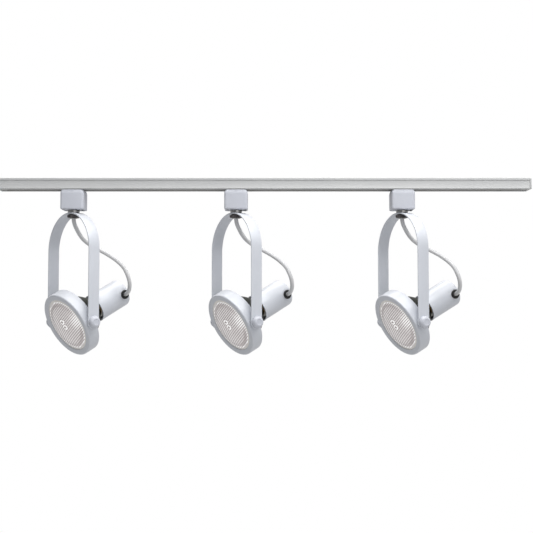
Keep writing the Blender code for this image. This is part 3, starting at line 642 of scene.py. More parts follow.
# Adapters, drawn over the middle of the track and moved to their heads
caseShape = {
    "corner": 4.0,
    "wall": 2.4,
    # (inset, height above the floor), up to the parting line
    "lower": ((2.4, 0.0), (0.95, 0.3), (0.3, 1.0), (0.0, 2.2), (0.0, 27.6), (0.25, 29.6), (0.6, 31.0)),
    # (inset, height below the top), from the parting line up
    "upper": ((1.05, 3.15), (1.1, 2.7), (0.75, 2.65), (1.3, 1.3), (2.0, 0.5), (3.0, 0.0)),
    "notchHalf": 1.5,
    "notchTop": 2.4,
    "notchFoot": 4.2,
    "notchDepth": 1.6,
    "tongueLength": 34.0,
    "tongueHalf": 8.0,
    "tongueTop": -6.4,
    "earLength": 12.0,
    "earHalf": 11.9,
    "earFoot": -17.2,
    "earHeight": 3.0,
    "contactHeight": -10.0,
    "retainerRoom": 8.8,
    "stemHole": 6.8,
    "pocketLow": 11.0,
    "pocketHigh": 17.6,
    "pocketHalf": 7.0,
    "pocketHeight": 8.5,
    "screwX": -14.6,
    "screwY": 12.4,
    "screwRadius": 2.4,
    "screwSeat": 0.4,
    "contactSlot": (4.8, 3.3, 13.0, 0.8),  # half length, from and to across the tongue, half height
}


def adapterCase(shape):
    # The moulded case with its tongue, locking ears, lever pocket and hollow inside
    low, high = boxOf("adapter_body_1", heads[0])
    length, depth = high.x - low.x, high.y - low.y
    floor, top = low.z, boxOf("track_channel")[0].z - gap
    levels = [(inset, floor + height) for inset, height in shape["lower"]]
    levels += [(inset, top - drop) for inset, drop in shape["upper"]]
    case = slab(length, depth, shape["corner"], levels)
    wall, half = shape["wall"], shape["tongueHalf"]
    tongueEnd, earEnd = shape["tongueLength"] / 2, shape["earLength"] / 2
    tongue = block((-tongueEnd, -half, top - 2), (tongueEnd, half, shape["tongueTop"]), 0.9)
    ears = block(
        (-earEnd, -shape["earHalf"], shape["earFoot"]),
        (earEnd, shape["earHalf"], shape["earFoot"] + shape["earHeight"]), 0.7,
    )
    cavityEnd = shape["pocketLow"] - wall
    cavity = block(
        (-length / 2 + 1.5 * wall, -depth / 2 + 1.5 * wall, floor + wall),
        (cavityEnd, depth / 2 - 1.5 * wall, top - 2 * wall), 1.0, 2,
    )
    window = block(
        (-tongueEnd + wall, -half + wall, top - 3 * wall),
        (cavityEnd - wall, half - wall, shape["tongueTop"] + wall), 0.6, 2,
    )
    pocket = block(
        (shape["pocketLow"], -shape["pocketHalf"], floor - 5),
        (shape["pocketHigh"], shape["pocketHalf"], floor + shape["pocketHeight"]), 0.5, 2,
    )
    retainerRoom = rod(shape["retainerRoom"], floor + wall, floor + wall + 8)
    stemHole = rod(shape["stemHole"], floor - wall, floor + 2 * wall)
    cuts = [cavity, window, retainerRoom, stemHole, pocket]
    slotHalf, slotNear, slotFar, slotRise = shape["contactSlot"]
    notch, contact = shape["notchHalf"], shape["contactHeight"]
    for side in (-1, 1):
        near, far = sorted((side * (depth / 2 - shape["notchDepth"]), side * depth))
        cuts.append(block((-notch, near, top - shape["notchFoot"]), (notch, far, top - shape["notchTop"])))
        near, far = sorted((side * slotNear, side * slotFar))
        cuts.append(block((-slotHalf, near, contact - slotRise), (slotHalf, far, contact + slotRise)))
        seat = rod(shape["screwRadius"] + shape["screwSeat"], floor - 1, floor + 1.1)
        cuts.append(moved(seat, Matrix.Translation((shape["screwX"], side * shape["screwY"], 0))))
    tools = [("UNION", tongue), ("UNION", ears)] + [("DIFFERENCE", cut) for cut in cuts]
    return combined(case, *tools), floor


def caseScrew(shape, floor):
    # A small cross-head screw, its head sunk in the case's underside
    radius = shape["screwRadius"]
    head = turned(
        [(0, 0), (radius * 0.7, 0.05), (radius * 0.95, 0.35), (radius, 0.7), (radius, 1.05), (0, 1.05)], 40
    )
    slots = [block((-w, -d, -1), (w, d, 0.6)) for w, d in ((0.32, 1.4), (1.4, 0.32))]
    mesh = combined(head, *[("DIFFERENCE", slot) for slot in slots])
    mesh.transform(Matrix.Translation((0, 0, (floor + 0.05) * mm)))
    return mesh


leverShape = {
    "half": 6.5, "thickness": 3.0, "edge": 0.5, "ridges": 4, "ridgePitch": 1.1, "ridgeRadius": 0.42,
    "ridgeStart": 0.9,
}


def releaseLever(shape):
    # A flat blade on a round knuckle, with finger ridges near its tip
    low, high = boxOf("release_lever_1", heads[0])
    middle = (low.x + high.x) / 2
    half, thick = shape["half"], shape["thickness"] / 2
    blade = block((middle - thick, -half, low.z), (middle + thick, half, high.z - thick), shape["edge"])
    knuckle = moved(
        soften(rod(thick, -half, half), 0.3, 2),
        Matrix.Translation((middle, 0, high.z - thick)) @ Matrix.Rotation(math.pi / 2, 4, "X"),
    )
    tools = [("UNION", knuckle)]
    across = Matrix.Rotation(math.pi / 2, 4, "X")
    for ridge in range(shape["ridges"]):
        height = low.z + shape["ridgeStart"] + ridge * shape["ridgePitch"]
        groove = rod(shape["ridgeRadius"], -half - 1, half + 1, 16)
        spot = Matrix.Translation((middle - thick, 0, height))
        tools.append(("DIFFERENCE", moved(groove, spot @ across)))
    return combined(blade, *tools)


caseMesh, caseFloor = adapterCase(caseShape)
screwMesh = caseScrew(caseShape, caseFloor)
leverMesh = releaseLever(leverShape)
for head in heads:
    number, body = head["number"], f"adapter_assembly_{head['number']}"
    addPiece(
        f"adapterCase_{number}", caseMesh, head["slide"], looks["mouldedPlastic"], body,
        [f"adapter_body_{number}"],
    )
    for index, side in enumerate((-1, 1)):
        spot = Matrix.Translation((caseShape["screwX"] * mm, side * caseShape["screwY"] * mm, 0))
        name = f"caseScrew_{number}_{index + 1}"
        addPiece(name, screwMesh, head["slide"] @ spot, looks["zincPlate"], body, ())
    addPiece(
        f"releaseLever_{number}", leverMesh, head["slide"], looks["greyPlastic"], f"lever_{number}",
        [f"release_lever_{number}"],
    )
print("adapters made")


# Stem, collar and nut, in the swivelling yoke's frame
stemShape = {
    "radius": 6.5, "bore": 4.2, "collarRadius": 10.2, "collarHeight": 4.0, "threadPitch": 1.0,
    "threadDepth": 0.4,
}


def swivelStem(shape, collarTop):
    # A hollow threaded tube with the collar that the yoke hangs against
    low, high = boxOf("swivel_stem_1", heads[0])
    radius, bore, collar = shape["radius"], shape["bore"], shape["collarRadius"]
    collarFoot = collarTop - shape["collarHeight"]
    profile = [
        (bore, low.z + 0.4), (bore, high.z - 0.4), (bore + 0.4, high.z), (radius - 0.5, high.z),
        (radius, high.z - 0.5), (radius, collarTop), (collar - 0.7, collarTop),
        (collar - 0.2, collarTop - 0.2), (collar, collarTop - 0.7), (collar, collarFoot + 0.9),
        (collar - 0.25, collarFoot + 0.3), (collar - 0.9, collarFoot), (radius, collarFoot),
        (radius, collarFoot - 2.6),
    ]
    height = collarFoot - 3.0
    while height - shape["threadPitch"] > low.z + 0.6:
        profile.append((radius, height))
        profile.append((radius - shape["threadDepth"], height - shape["threadPitch"] / 2))
        height -= shape["threadPitch"]
    profile += [(radius, low.z + 0.6), (radius - 0.6, low.z), (bore + 0.4, low.z)]
    return finished(turned(profile, 64))


nutShape = {"acrossFlats": 19.0, "bore": 6.8, "chamfer": 0.9}


def lockNut(shape):
    low, high = boxOf("lock_nut_1", heads[0])
    corner = shape["acrossFlats"] / 2 / math.cos(math.pi / 6)
    flat = shape["acrossFlats"] / 2
    hexagon = turned([(0, low.z), (corner, low.z), (corner, high.z), (0, high.z)], 6)
    rounding = turned(
        [
            (0, low.z), (flat, low.z), (corner + 0.05, low.z + shape["chamfer"]),
            (corner + 0.05, high.z - shape["chamfer"]), (flat, high.z), (0, high.z),
        ],
        96,
    )
    bore = turned(
        [
            (0, low.z - 1), (shape["bore"] + 1.6, low.z - 1), (shape["bore"], low.z + 0.6),
            (shape["bore"], high.z - 0.6), (shape["bore"] + 1.6, high.z + 1), (0, high.z + 1),
        ],
        64,
    )
    return combined(hexagon, ("INTERSECT", rounding), ("DIFFERENCE", bore))


# Yoke and knobs
yokeShape = {
    "radius": 63.1,  # to the middle of the strap
    "width": 20.8,
    "thickness": 2.2,
    "belowKnob": 12.0,
    "archSteps": 56,
    "edge": 0.55,
    "stemHole": 6.8,
    "shankHole": 3.4,
}


def yokeStrap(shape):
    # One flat strap, drawn up an arm, spun over the arch and drawn down the other arm
    top = boxOf("yoke_1", heads[0])[1].z
    half, thick, radius = shape["width"] / 2, shape["thickness"] / 2, shape["radius"]
    foot = knobHeight - shape["belowKnob"]
    springLine = top - thick - radius
    bm = bmesh.new()
    corners = ((-thick, -half), (thick, -half), (thick, half), (-thick, half))
    face = bm.faces.new([bm.verts.new((-radius + across, along, foot)) for across, along in corners])

    face = drawnOut(bm, face, (0, 0, springLine - foot))[0]
    swept = bmesh.ops.spin(
        bm, geom=[face], cent=(0, 0, springLine), axis=(0, 1, 0), angle=math.pi, steps=shape["archSteps"],
        use_merge=False,
    )["geom_last"]
    drawnOut(bm, partsOf(swept, bmesh.types.BMFace)[0], (0, 0, foot - springLine))
    bmesh.ops.remove_doubles(bm, verts=bm.verts, dist=1e-4)
    joins = [part for part in bm.faces if all(len(edge.link_faces) > 2 for edge in part.edges)]
    bmesh.ops.delete(bm, geom=joins, context="FACES_ONLY")
    endEdges = [
        edge
        for edge in bm.edges
        if all(abs(vert.co.z - foot) < 1e-3 for vert in edge.verts)
        and abs(edge.verts[0].co.x - edge.verts[1].co.x) > thick
    ]
    bmesh.ops.bevel(
        bm, geom=endEdges, offset=half * 0.985, segments=14, profile=0.5, affect="EDGES", material=-1
    )
    bmesh.ops.recalc_face_normals(bm, faces=bm.faces)
    soften(bm, shape["edge"], 3, angle=50)
    reach = radius + 3 * shape["thickness"]
    holes = [rod(shape["stemHole"], top - 8, top + 4)]
    for side in (-1, 1):
        lift = Matrix.Translation((0, 0, knobHeight))
        holes.append(moved(rod(shape["shankHole"], reach / 2, reach), lift @ alongKnob(side)))
    return combined(bm, *[("DIFFERENCE", hole) for hole in holes])


knobShape = {
    "radius": 10.0, "faceRadius": 5.5, "height": 8.0, "shankRadius": 3.0, "skirt": 2.1, "undercut": 1.5,
    "domeSteps": 9, "threadPitch": 0.8, "threadDepth": 0.3,
}


def thumbKnob(shape, seat, tip):
    # A domed head with a flat end, on a threaded shank that reaches the ring's boss
    radius, face = shape["radius"], shape["faceRadius"]
    profile = [(0, tip), (shape["shankRadius"] - 0.5, tip), (shape["shankRadius"], tip + 0.5)]
    height = tip + 0.6
    while height + shape["threadPitch"] < seat - 2.4:
        profile.append((shape["shankRadius"], height))
        profile.append((shape["shankRadius"] - shape["threadDepth"], height + shape["threadPitch"] / 2))
        height += shape["threadPitch"]
    profile += [
        (shape["shankRadius"], height), (shape["shankRadius"], seat), (radius - shape["undercut"], seat),
        (radius - 0.25, seat + 1.1), (radius, seat + 1.5), (radius, seat + shape["skirt"]),
    ]
    rise = shape["height"] - shape["skirt"]
    for step in range(1, shape["domeSteps"]):
        angle = math.pi / 2 * step / shape["domeSteps"]
        across, up = (radius - face) * math.cos(angle), (rise - 0.25) * math.sin(angle)
        profile.append((face + across, seat + shape["skirt"] + up))
    top = seat + shape["height"]
    profile += [(face, top), (face - 0.4, top), (face - 0.9, top - 0.5), (0, top - 0.5)]
    return finished(turned(profile, 72))


# Gimbal ring, lamp and housing; heights run along the lamp's axis from the knob axis
ringShape = {
    "outer": 57.8,
    "wall": 2.0,
    "aperture": 47.8,
    "front": 13.6,
    "back": -8.2,
    "shoulder": 2.6,  # radius of the rolled front edge
    "lip": 1.8,
    "slope": 0.9,  # how far the front face falls from its crest to the aperture
    "bossRadius": 8.0,
    "bossEnd": 61.7,
    "threadHole": 3.3,
}


def arc(centre, radius, first, last, steps):
    # (radius, height) points round a corner of a profile, angles in degrees
    return [
        (
            centre[0] + radius * math.cos(math.radians(first + (last - first) * step / steps)),
            centre[1] + radius * math.sin(math.radians(first + (last - first) * step / steps)),
        )
        for step in range(steps + 1)
    ]


def gimbalRing(shape):
    outer, inner, front, back = shape["outer"], shape["outer"] - shape["wall"], shape["front"], shape["back"]
    shoulder, lip, aperture = shape["shoulder"], shape["lip"], shape["aperture"]
    profile = arc((outer - shoulder, front - shoulder), shoulder, 0, 90, 8)
    profile += [(aperture + 3.4, front - 0.35 * shape["slope"])]
    profile += arc((aperture + 0.9, front - shape["slope"] - 0.55), 0.9, 80, 180, 6)
    profile += [(aperture, front - lip - 0.9), (aperture + 0.6, front - lip - 1.0)]
    profile += [(inner - 1.2, front - lip - 1.0)]
    profile += arc((inner - 1.2, front - lip - 2.2), 1.2, 90, 0, 4)
    profile += [(inner, back + 0.4), (inner + 0.4, back), (outer - 0.5, back), (outer, back + 0.5)]
    ring = turned(profile, 128)
    root, wide, end = outer - shape["wall"] / 2, shape["bossRadius"], shape["bossEnd"]
    tools = []
    for side in (-1, 1):
        boss = [
            (0, root), (wide + 0.9, root), (wide + 0.9, root + 1.3), (wide + 0.25, root + 1.9),
            (wide, root + 2.7), (wide, end - 0.4), (wide - 0.4, end), (0, end),
        ]
        tools.append(("UNION", moved(turned(boss, 48), alongKnob(side))))
        hole = rod(shape["threadHole"], root - 6, end + 2)
        tools.append(("DIFFERENCE", moved(hole, alongKnob(side))))
    return combined(ring, *tools)


lensShape = {
    "radius": 48.6,
    "rim": 4.6,
    "domeRadius": 44.5,
    "dome": 6.0,
    "thickness": 3.0,
    "ribPitch": 3.6,
    "ribDepth": 0.75,
    "ribTurn": 28.0,  # degrees from the knob axis
    "ribSamples": 12,
    "crossPitch": 4.2,
    "crossDepth": 0.14,
    "dotRadius": 3.3,
    "dotRim": 1.0,
    "dotStretch": 1.5,  # along the knob axis
    "dotReach": 5.4,
    "dots": ((-2.8, 8.0), (0.6, -1.6)),
    "brightSpot": (38.5, 9.0),  # a painted bright patch, standing for the bowl behind the glass shining through
    "brightReach": 13.0,
    "shadeBandShare": 0.86,  # of the dome's radius: a painted dark ring of shade inside the painted bright rim
    "shadeBandWidth": 0.07,
    "shadeBandDepth": 0.42,
    "shadeBandTurn": 2.3,
    # Strengths of the painted light: a painted bright rim, painted shade in the flutes, painted highlights on
    # ribs, patch and dot rings, painted shade inside the dots
    "glowShare": 0.975,
    "glowWidth": 0.03,
    "rimGlow": 0.4,
    "fluteShine": 0.08,
    "ribShine": 0.56,
    "crossShine": 0.12,
    "spotShine": 0.8,
    "dotShine": 1.3,
    "dotShade": 0.12,
    "dotRise": 0.55,
    "gridSteps": 104,
}


def lensDisc(shape, front):
    # A grid is drawn in to a disc, domed and fluted; a flat back sheet closes it
    radius = shape["domeRadius"]
    rows = int(2 * radius / shape["ribPitch"] * shape["ribSamples"])
    bm = bmesh.new()
    bmesh.ops.create_grid(bm, x_segments=shape["gridSteps"], y_segments=rows, size=radius)
    turn = Matrix.Rotation(math.radians(shape["ribTurn"]), 3, "Z")
    dots = [Vector((x, y, 0)) for x, y in shape["dots"]]
    for vert in bm.verts:
        across = max(-1.0, min(1.0, vert.co.y / radius))
        vert.co.x *= math.sqrt(max(0.0, 1 - across**2))
        flat = Vector((vert.co.x, vert.co.y, 0))
        share = flat.length / radius
        edge = min(1.0, max(0.0, (1 - share) * 14))
        rib = abs(math.sin(math.pi * vert.co.y / shape["ribPitch"]))
        cross = math.sin(2 * math.pi * vert.co.x / shape["crossPitch"])
        crossing = 0.5 + 0.5 * math.sin(vert.co.x * 0.11 + 0.7)
        rise = shape["dome"] * (1 - share**2) - shape["ribDepth"] * (1 - rib) * edge
        rise += shape["crossDepth"] * cross * crossing * edge
        spun = turn @ flat
        for dot in dots:
            distance = (spun - dot).length
            ridge = math.exp(-(((distance - shape["dotRadius"]) / shape["dotRim"]) ** 2))
            rise += shape["dotRise"] * ridge
        vert.co = (spun.x, spun.y, front + rise - 0.05)
    bmesh.ops.remove_doubles(bm, verts=bm.verts, dist=1e-3)
    bmesh.ops.recalc_face_normals(bm, faces=bm.faces)
    if sum(face.normal.z for face in bm.faces) < 0:
        bmesh.ops.reverse_faces(bm, faces=bm.faces)
    sheet = bm.faces[:]
    drawn = bmesh.ops.extrude_face_region(bm, geom=sheet, use_keep_orig=True)["geom"]
    for vert in partsOf(drawn, bmesh.types.BMVert):
        share = min(1.0, math.hypot(vert.co.x, vert.co.y) / radius)
        vert.co.z = front + shape["dome"] * (1 - share**2) - shape["thickness"]
    return finished(bm)


def lensRim(shape, front):
    radius, dome, wall = shape["radius"], shape["domeRadius"], 2.2
    profile = [
        (dome - 0.6, front + 0.25), (dome + 0.6, front + 0.1), (dome + 1.4, front - 0.1),
        (radius - 0.9, front - 0.1), (radius - 0.25, front - 0.4), (radius, front - 1.0),
        (radius, front - shape["rim"] + 0.4), (radius - 0.4, front - shape["rim"]),
        (radius - wall, front - shape["rim"]), (dome - 0.6, front - shape["thickness"]),
    ]
    return finished(turned(profile, 128))


def lensLook(shape):
    # Pressed glass: faintly warm, glossy, with fine ripples left by the mould; painted light sits in its
    # colour, painted shade in the flutes and painted highlights on the crests, and the brightest painted
    # highlights glow
    material, tree, shader = newLook("pressedGlassPaintedShine")
    ripple = grainOn(tree, 420.0, 48.0)[0]
    paintedShine = addNode(tree, "Attribute", {}, attribute_name="paintedShine").outputs["Fac"]
    paintedShineRamp = addNode(tree, "ValToRGB", {"Fac": paintedShine})
    paintedShineRamp.color_ramp.elements[0].color = (*shape["hollow"], 1.0)
    paintedShineRamp.color_ramp.elements[1].color = (*shape["glint"], 1.0)
    paintedShineRamp.color_ramp.elements.new(0.5).color = (*shape["colour"], 1.0)
    # tone here is the painted light and shade taken from the ramp
    tone = paintedShineRamp.outputs["Color"]
    colour = mixColour(tree, ripple["Mottle"], tone, shape["tone"])
    tree.links.new(mixColour(tree, paintedShine, colour, tone), shader.inputs["Base Color"])
    glossAndBump(tree, ripple["Mottle"], (0.1, 0.24), ripple["Height"], 0.35, 0.12)
    shader.inputs["Coat Weight"].default_value = 0.6
    shader.inputs["Coat Roughness"].default_value = 0.05
    # Painted glow: the lens emits light where its painted highlights are brightest, though it is no lamp
    paintedGlow = addNode(tree, "MapRange", {"Value": paintedShine, "From Min": 0.45, "To Max": shape["glow"]})
    tree.links.new(paintedGlow.outputs["Result"], shader.inputs["Emission Strength"])
    return material


# hollow is the painted shade in the flutes, glint the painted highlight, glow the strength of the painted
# emission
glassShape = {
    "colour": (0.93, 0.85, 0.84), "tone": (0.84, 0.76, 0.75), "hollow": (0.26, 0.205, 0.195),
    "glint": (1.0, 0.99, 0.97), "glow": 0.5,
}


def paintLensShineAndShade(mesh, shape):
    # Stores painted light and shade for each point: painted shade in the flutes, painted highlights on the
    # ribs' crests, a painted bright patch and rim, painted dot rings with painted shade inside, and a painted
    # dark band
    attribute = mesh.attributes.new("paintedShine", "FLOAT", "POINT")
    turn = Matrix.Rotation(-math.radians(shape["ribTurn"]), 3, "Z")
    spot = Vector((*shape["brightSpot"], 0))
    dots = [Vector((x, y, 0)) for x, y in shape["dots"]]
    for index, vert in enumerate(mesh.vertices):
        flat = Vector((vert.co.x, vert.co.y, 0)) / mm
        along = turn @ flat
        rib = abs(math.sin(math.pi * along.y / shape["ribPitch"]))
        cross = 0.5 + 0.5 * math.sin(2 * math.pi * along.x / shape["crossPitch"])
        brightPatch = math.exp(-(((flat - spot).length / shape["brightReach"]) ** 2))
        value = shape["fluteShine"] + shape["ribShine"] * rib
        value += shape["crossShine"] * cross * rib + shape["spotShine"] * brightPatch * rib**2
        share = flat.length / shape["domeRadius"]
        around = 0.65 + 0.35 * math.cos(2 * (math.atan2(flat.y, flat.x) - shape["shadeBandTurn"]))
        shadeBand = math.exp(-(((share - shape["shadeBandShare"]) / shape["shadeBandWidth"]) ** 2))
        value *= 1 - shape["shadeBandDepth"] * shadeBand * around * (1 - brightPatch)
        glow = math.exp(-(((share - shape["glowShare"]) / shape["glowWidth"]) ** 2))
        value += shape["rimGlow"] * (0.5 + rib / 2) * glow
        for dot in dots:
            distance = math.hypot((flat.x - dot.x) / shape["dotStretch"], flat.y - dot.y)
            ridge = math.exp(-(((distance - shape["dotRadius"]) / shape["dotRim"]) ** 2))
            near = math.exp(-((distance / shape["dotReach"]) ** 6))
            value = value * (1 - near) + shape["dotShade"] * near + shape["dotShine"] * ridge
        attribute.data[index].value = min(1.0, value)


reflectorShape = {
    "rimRadius": 48.6, "waist": 27.0, "neck": 17.5, "wall": 2.2, "neckBack": -49.0, "bowlSteps": 14,
}


def lampReflector(shape, rimHeight):
    # The lamp's bowl, from under the lens to its neck
    neck, wall, foot = shape["neck"], shape["wall"], shape["neckBack"]
    bowlBack = foot + 10
    outside = []
    for step in range(shape["bowlSteps"] + 1):
        share = step / shape["bowlSteps"]
        radius = shape["waist"] + (shape["rimRadius"] - shape["waist"]) * (1 - share**1.7)
        outside.append((radius, rimHeight + (bowlBack - rimHeight) * share))
    inside = [(radius - wall, height) for radius, height in outside]
    profile = [(0, foot + 6), (neck - wall, foot + 6), *inside[::-1], *outside]
    profile += [(neck + 4, foot + 5.2), (neck + 0.8, foot + 3.2), (neck, foot + 1.6), (neck, foot), (0, foot)]
    return finished(turned(profile, 96))


housingShape = {
    "radius": 24.4, "wall": 1.6, "front": -48.4, "back": -114.3, "edge": 6.0, "bead": 0.45,
    "grommetFromBack": 12.0, "grommetHole": 5.9,
}


def socketHousing(shape):
    # A drawn cup: rolled bead at its open front, a full radius at its closed back
    outer, wall, edge, back, front = (shape[key] for key in ("radius", "wall", "edge", "back", "front"))
    bead = shape["bead"]
    profile = [(0, back + wall)]
    profile += arc((outer - edge, back + edge), edge - wall, 270, 360, 8)
    profile += [(outer - wall, front - 0.5)]
    profile += [(outer - wall + 0.4, front), (outer - 0.1, front), (outer + bead, front - 0.5)]
    profile += [(outer + bead, front - 1.6), (outer + 0.1, front - 2.2), (outer, front - 2.9)]
    profile += arc((outer - edge, back + edge), edge, 360, 270, 12)
    profile += [(0, back)]
    hole = moved(
        rod(shape["grommetHole"], outer / 2, outer * 1.5),
        Matrix.Translation((0, 0, back + shape["grommetFromBack"])) @ alongKnob(1),
    )
    return combined(turned(profile, 128), ("DIFFERENCE", hole))


grommetShape = {"radius": 8.0, "neck": 5.6, "bore": 4.0, "proud": 2.8, "flange": 6.7, "flangeThickness": 1.6}


def cordGrommet(shape, housing):
    seat = housing["radius"] + gap
    innerWall = housing["radius"] - housing["wall"]
    innerSeat = math.sqrt(innerWall**2 - shape["flange"] ** 2) - gap
    face = seat + shape["proud"]
    profile = [
        (shape["bore"], innerSeat - shape["flangeThickness"]),
        (shape["flange"], innerSeat - shape["flangeThickness"]), (shape["flange"], innerSeat),
        (shape["neck"], innerSeat), (shape["neck"], seat), (shape["radius"] - 0.3, seat),
        (shape["radius"], seat + 0.3),
    ]
    profile += arc((shape["radius"] - 1.7, face - 1.7), 1.7, 0, 80, 6)
    profile += [(shape["bore"] + 1.1, face), (shape["bore"] + 0.6, face - 0.5), (shape["bore"], face - 0.9)]
    lift = Matrix.Translation((0, 0, housing["back"] + housing["grommetFromBack"]))
    return finished(moved(turned(profile, 64), lift @ alongKnob(1)))


holderShape = {"radius": 18.6, "front": -53.5, "body": 32.0, "bore": 13.5, "boreDepth": 24.0, "foot": 11.5}


def lampHolder(shape, housing):
    footEnd = housing["back"] + housing["wall"] + gap
    front, radius, foot = shape["front"], shape["radius"], shape["foot"]
    bodyBack, boreBack = front - shape["body"], front - shape["boreDepth"]
    profile = [
        (0, boreBack), (shape["bore"], boreBack), (shape["bore"], front - 0.6),
        (shape["bore"] + 0.6, front), (radius - 1.2, front), (radius - 0.3, front - 0.4),
        (radius, front - 1.3), (radius, front - 9.0), (radius - 0.7, front - 9.6),
        (radius - 0.7, front - 11.0), (radius, front - 11.6), (radius, bodyBack + 1.4),
        (radius - 1.4, bodyBack), (foot, bodyBack), (foot, footEnd + 0.5), (foot - 0.5, footEnd),
        (0, footEnd),
    ]
    return finished(turned(profile, 64))


collarTop = boxOf("adapter_body_1", heads[0])[0].z - gap
stemMesh = swivelStem(stemShape, collarTop)
nutMesh = lockNut(nutShape)
yokeMesh = yokeStrap(yokeShape)
knobSeat = yokeShape["radius"] + yokeShape["thickness"] / 2 + gap
knobTip = ringShape["outer"] - ringShape["wall"] - gap
knobMesh = thumbKnob(knobShape, knobSeat, knobTip)
ringMesh = gimbalRing(ringShape)
lensFront = ringShape["front"] - ringShape["lip"] - gap
discMesh = lensDisc(lensShape, lensFront)
paintLensShineAndShade(discMesh, lensShape)
rimMesh = lensRim(lensShape, lensFront)
reflectorMesh = lampReflector(reflectorShape, lensFront - lensShape["rim"] - gap)
housingMesh = socketHousing(housingShape)
grommetMesh = cordGrommet(grommetShape, housingShape)
holderMesh = lampHolder(holderShape, housingShape)
glass = lensLook(glassShape)
print("head pieces drawn")

for head in heads:
    number = head["number"]
    yokeBody, lampBody = f"yoke_assembly_{number}", f"lamp_assembly_{number}"
    swivelPieces = (
        ("swivelStem", stemMesh, "zincPlate", "swivel_stem", "zinc"),
        # The lock nut's near-black finish is painted shade for the shadow under the arch
        ("lockNut", nutMesh, "steelPaintedShade", "lock_nut", "zinc"),
        ("yoke", yokeMesh, "whiteEnamel", "yoke", "white_paint"),
    )
    for name, mesh, look, node, slotName in swivelPieces:
        nodes = [f"{node}_{number}"]
        addPiece(f"{name}_{number}", mesh, head["swivel"], looks[look], yokeBody, nodes)
    lampPieces = (
        ("gimbalRing", ringMesh, "whiteEnamel", "gimbal_ring", "white_paint"),
        ("lampReflector", reflectorMesh, "lampShell", "lamp_reflector", "silvered_glass"),
        ("socketHousing", housingMesh, "whiteEnamel", "socket_housing", "white_paint"),
        ("cordGrommet", grommetMesh, "blackRubber", "cord_grommet", "black_rubber"),
        ("lampHolder", holderMesh, "porcelain", "lampholder", "porcelain"),
    )
    for name, mesh, look, node, slotName in lampPieces:
        nodes = [f"{node}_{number}"]
        addPiece(f"{name}_{number}", mesh, head["tilt"], looks[look], lampBody, nodes)
    nodes = [f"lamp_lens_{number}"]
    addPiece(f"lensDisc_{number}", discMesh, head["tilt"], glass, lampBody, nodes, 60)
    addPiece(f"lensRim_{number}", rimMesh, head["tilt"], looks["lensRim"], lampBody, ())
    for side, label in ((-1, "left"), (1, "right")):
        addPiece(
            f"thumbKnob_{label}_{number}", knobMesh, head["tilt"] @ alongKnob(side),
            looks["mouldedPlastic"], f"knob_{label}_{number}", [f"thumb_knob_{label}_{number}"],
        )
print("heads made")


# The CAD pieces that stay as they are, with their finishes
carriedOver = {"track_insulator": "liningVinyl"}
for wire in ("line", "neutral"):
    carriedOver[f"conductor_{wire}"] = "stripCopper"
for number in (1, 2, 3):
    carriedOver[f"contact_line_{number}"] = "stripCopper"
    carriedOver[f"contact_neutral_{number}"] = "stripCopper"
    carriedOver[f"stem_retainer_{number}"] = "zincPlate"
    carriedOver[f"lamp_cap_{number}"] = "capBrass"
for node, look in carriedOver.items():
    frame["nodes"][node].material_slots[0].material = looks[look]
print("finishes set on", len(carriedOver), "CAD pieces")


# Stage and light
stageSetup = {
    "wallY": 2.6, "wallTop": 5.0, "floorY": -4.5, "floorZ": -2.6, "width": 14.0, "bend": 0.6,
    "bendSteps": 8, "paper": 1.0, "bounce": 0.6, "sky": (0.95, 0.97, 1.0, 1.0), "skySeen": 1.06,
    "skyLight": 0.3,
}


def seenOrLit(tree, seen, lit):
    # One strength for what the camera sees and another for the light it gives
    isSeen = addNode(tree, "LightPath", {}).outputs["Is Camera Ray"]
    return addNode(tree, "MapRange", {"Value": isSeen, "To Min": lit, "To Max": seen}).outputs["Result"]


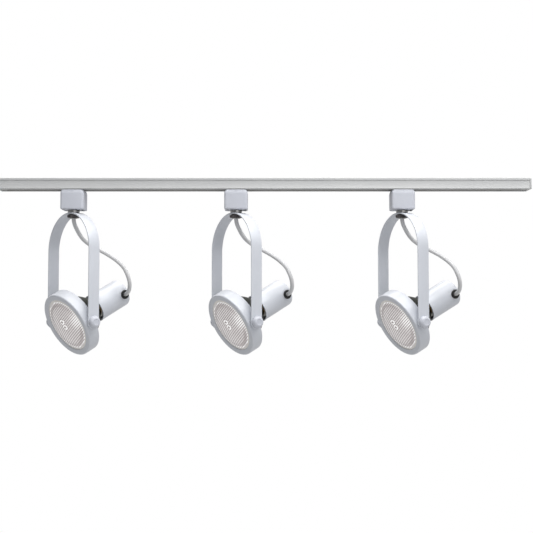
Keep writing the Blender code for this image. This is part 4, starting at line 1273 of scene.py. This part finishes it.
def paperSweep(setup):
    # One sheet: a pale floor that curves up into the backdrop
    bm = bmesh.new()
    half, bend = setup["width"] / 2, setup["bend"]
    line = [(setup["floorY"], setup["floorZ"])]
    for step in range(setup["bendSteps"] + 1):
        angle = math.pi / 2 * step / setup["bendSteps"]
        across, up = bend * math.sin(angle), -bend * math.cos(angle)
        line.append((setup["wallY"] - bend + across, setup["floorZ"] + bend + up))
    line.append((setup["wallY"], setup["wallTop"]))
    points = [bm.verts.new((-half, y, z)) for y, z in line]
    edges = [bm.edges.new(pair) for pair in zip(points, points[1:])]
    drawn = bmesh.ops.extrude_edge_only(bm, edges=edges)["geom"]
    verts = partsOf(drawn, bmesh.types.BMVert)
    bmesh.ops.translate(bm, vec=(setup["width"], 0, 0), verts=verts)
    mesh = bpy.data.meshes.new("paperSweep")
    bm.to_mesh(mesh)
    bm.free()
    mesh.shade_smooth()
    material, tree, _ = newLook("paper")
    tree.nodes.clear()
    glow = addNode(tree, "Emission", {"Strength": seenOrLit(tree, setup["paper"], setup["bounce"])})
    addNode(tree, "OutputMaterial", {"Surface": glow.outputs[0]})
    mesh.materials.append(material)
    sweep = bpy.data.objects.new("paperSweep", mesh)
    bpy.context.scene.collection.objects.link(sweep)


paperSweep(stageSetup)

# name: (place, aimed at, width, height, power, colour)
softLights = {
    "overhead": ((0.15, -0.2, 1.35), (0, 0, -0.2), 1.6, 2.6, 60.0, (1.0, 1.0, 1.0)),
    "frontFill": ((1.1, -2.5, -0.15), (0, 0, -0.2), 2.4, 1.8, 15.0, (1.0, 0.995, 1.0)),
}
for name, (spot, aim, width, height, power, colour) in softLights.items():
    lamp = bpy.data.lights.new(name, "AREA")
    lamp.shape = "RECTANGLE"
    lamp.size, lamp.size_y, lamp.energy, lamp.color = width, height, power, colour
    light = bpy.data.objects.new(name, lamp)
    light.location = spot
    light.rotation_euler = (Vector(aim) - Vector(spot)).to_track_quat("-Z", "Y").to_euler()
    bpy.context.scene.collection.objects.link(light)

world = bpy.data.worlds.new("studio")
bpy.context.scene.world = world
world.use_nodes = True
sky = world.node_tree.nodes["Background"]
sky.inputs["Color"].default_value = stageSetup["sky"]
skyStrength = seenOrLit(world.node_tree, stageSetup["skySeen"], stageSetup["skyLight"])
world.node_tree.links.new(skyStrength, sky.inputs["Strength"])
bpy.context.scene.view_settings.view_transform = "Standard"
print("stage and lights set")
